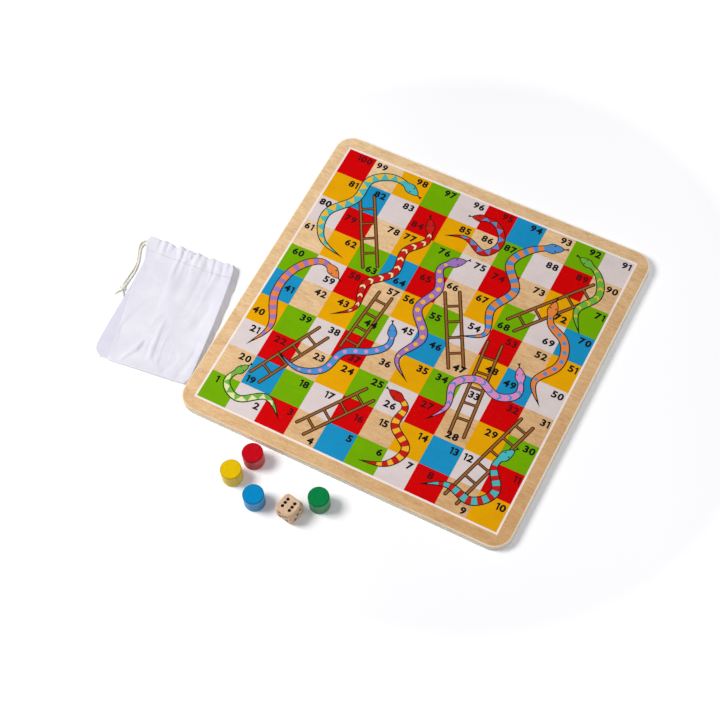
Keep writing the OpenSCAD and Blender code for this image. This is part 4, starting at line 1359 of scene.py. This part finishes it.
HEIGHTS_KEPT = (LOWER_T + 0.2, 8)
RIGHT_SPREAD = [(0, 0.3), (0.12, 0.9), (0.5, 3.2), (0.9, 4.2), (1, 3.4)]
SIDE_PUCKER, PUCKERS, PUCKER_STRETCH, PUCKER_SOFT = 0.45, 5.5, 0.15, 12
settled[..., 2] = np.clip(settled[..., 2], *HEIGHTS_KEPT)
up = v[:, 0]
spread = np.interp(up, *np.array(RIGHT_SPREAD).T)
spread += (SIDE_PUCKER * np.sin(2 * math.pi * PUCKERS * (up + PUCKER_STRETCH * up ** 2))
           * rise(from_foot[:, 0], PUCKER_SOFT))
panel = rolled(settled, LOWER_T, spread)
print("upper panel is a grid of", panel.shape[:2], "points")

# %% Upper panel and hem
CLOTH_T = 0.45 * MM
stitch_row = int(round(STITCH * (ALONG - 1)))
split = ROUND_STEPS + SIDE_STEPS + stitch_row


def make_cloth(name, points, cad_node, material):
    """A sheet of cloth from a grid of points in the bag's frame, with its thickness."""
    piece = new_piece(name, in_bag(points.reshape(-1, 3)), grid_faces(*points.shape[:2]))
    solid = piece.modifiers.new("thickness", "SOLIDIFY")
    solid.thickness = CLOTH_T
    solid.offset = -1
    smooth = piece.modifiers.new("smooth", "SUBSURF")
    smooth.levels = smooth.render_levels = 1
    piece.data.materials.append(material)
    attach(piece, "bag")
    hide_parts(cad_node)
    return piece


upper = make_cloth("bag_upper_panel", panel[:split + 1], "bag_front_panel", bag_cotton)
hem = make_cloth("bag_hem_band", panel[split:], "bag_hem", bag_cotton)
print("the panel and the hem meet at row", split)

# %% Lower panel
LOWER_ROWS, LOWER_COLUMNS, LOWER_END = 60, 48, 0.985
LAYERS_Z = LOWER_T - 0.15
RIPPLE, RIPPLE_FADE = 0.12, 9


def lower_grid():
    """Top of the lower panel: two layers of cloth that ripple a little at the folded edge."""
    u, v = np.meshgrid(np.linspace(0, 1, LOWER_COLUMNS), np.linspace(0, LOWER_END, LOWER_ROWS))
    x, y = bag_plan(u, v, LOWER_LEFT)
    ripple = RIPPLE * np.sin(v * 31 + 2 * np.sin(v * 9)) * np.exp(-u * RIPPLE_FADE)
    return np.stack([x, y, LAYERS_Z + ripple], axis=-1)


lower = make_cloth("bag_lower_panel", rolled(lower_grid()), "bag_back_panel", shaded_lower_cotton)
print("lower panel has", len(lower.data.polygons), "faces")

# %% [markdown]
# ## Stitches
# A row of stitches holds the hem. Each is a short thread that dips into the cloth at both ends,
# set on the settled sheet itself so that it follows every gather.
# %% Stitch line
STITCH_STEP, FIRST_STITCH, LAST_STITCH = 2.4, 1.5, 1
STITCH_ALONG = 1.7 * np.array([-0.5, -0.25, 0, 0.25, 0.5])
STITCH_UP = np.array([-0.15, 0.1, 0.18, 0.1, -0.15])
SEWING_D, SEWING_STEP = 0.3 * MM, 0.15 * MM


def stitches():
    """Threads along the stitch row of the settled sheet."""
    row = settled[stitch_row]
    parts = []
    for middle in np.arange(FIRST_STITCH, distances(row)[-1] - LAST_STITCH, STITCH_STEP):
        points = points_at(row, middle + STITCH_ALONG)
        points[:, 2] += STITCH_UP
        parts.append(tube(smooth_route(in_bag(points), SEWING_STEP), SEWING_D / 2, 6))
    return together(parts)


thread = new_piece("hem_stitches", *stitches())
thread.data.materials.append(bag_cotton)
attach(thread, "bag")
print("stitches have", len(thread.data.polygons), "faces")
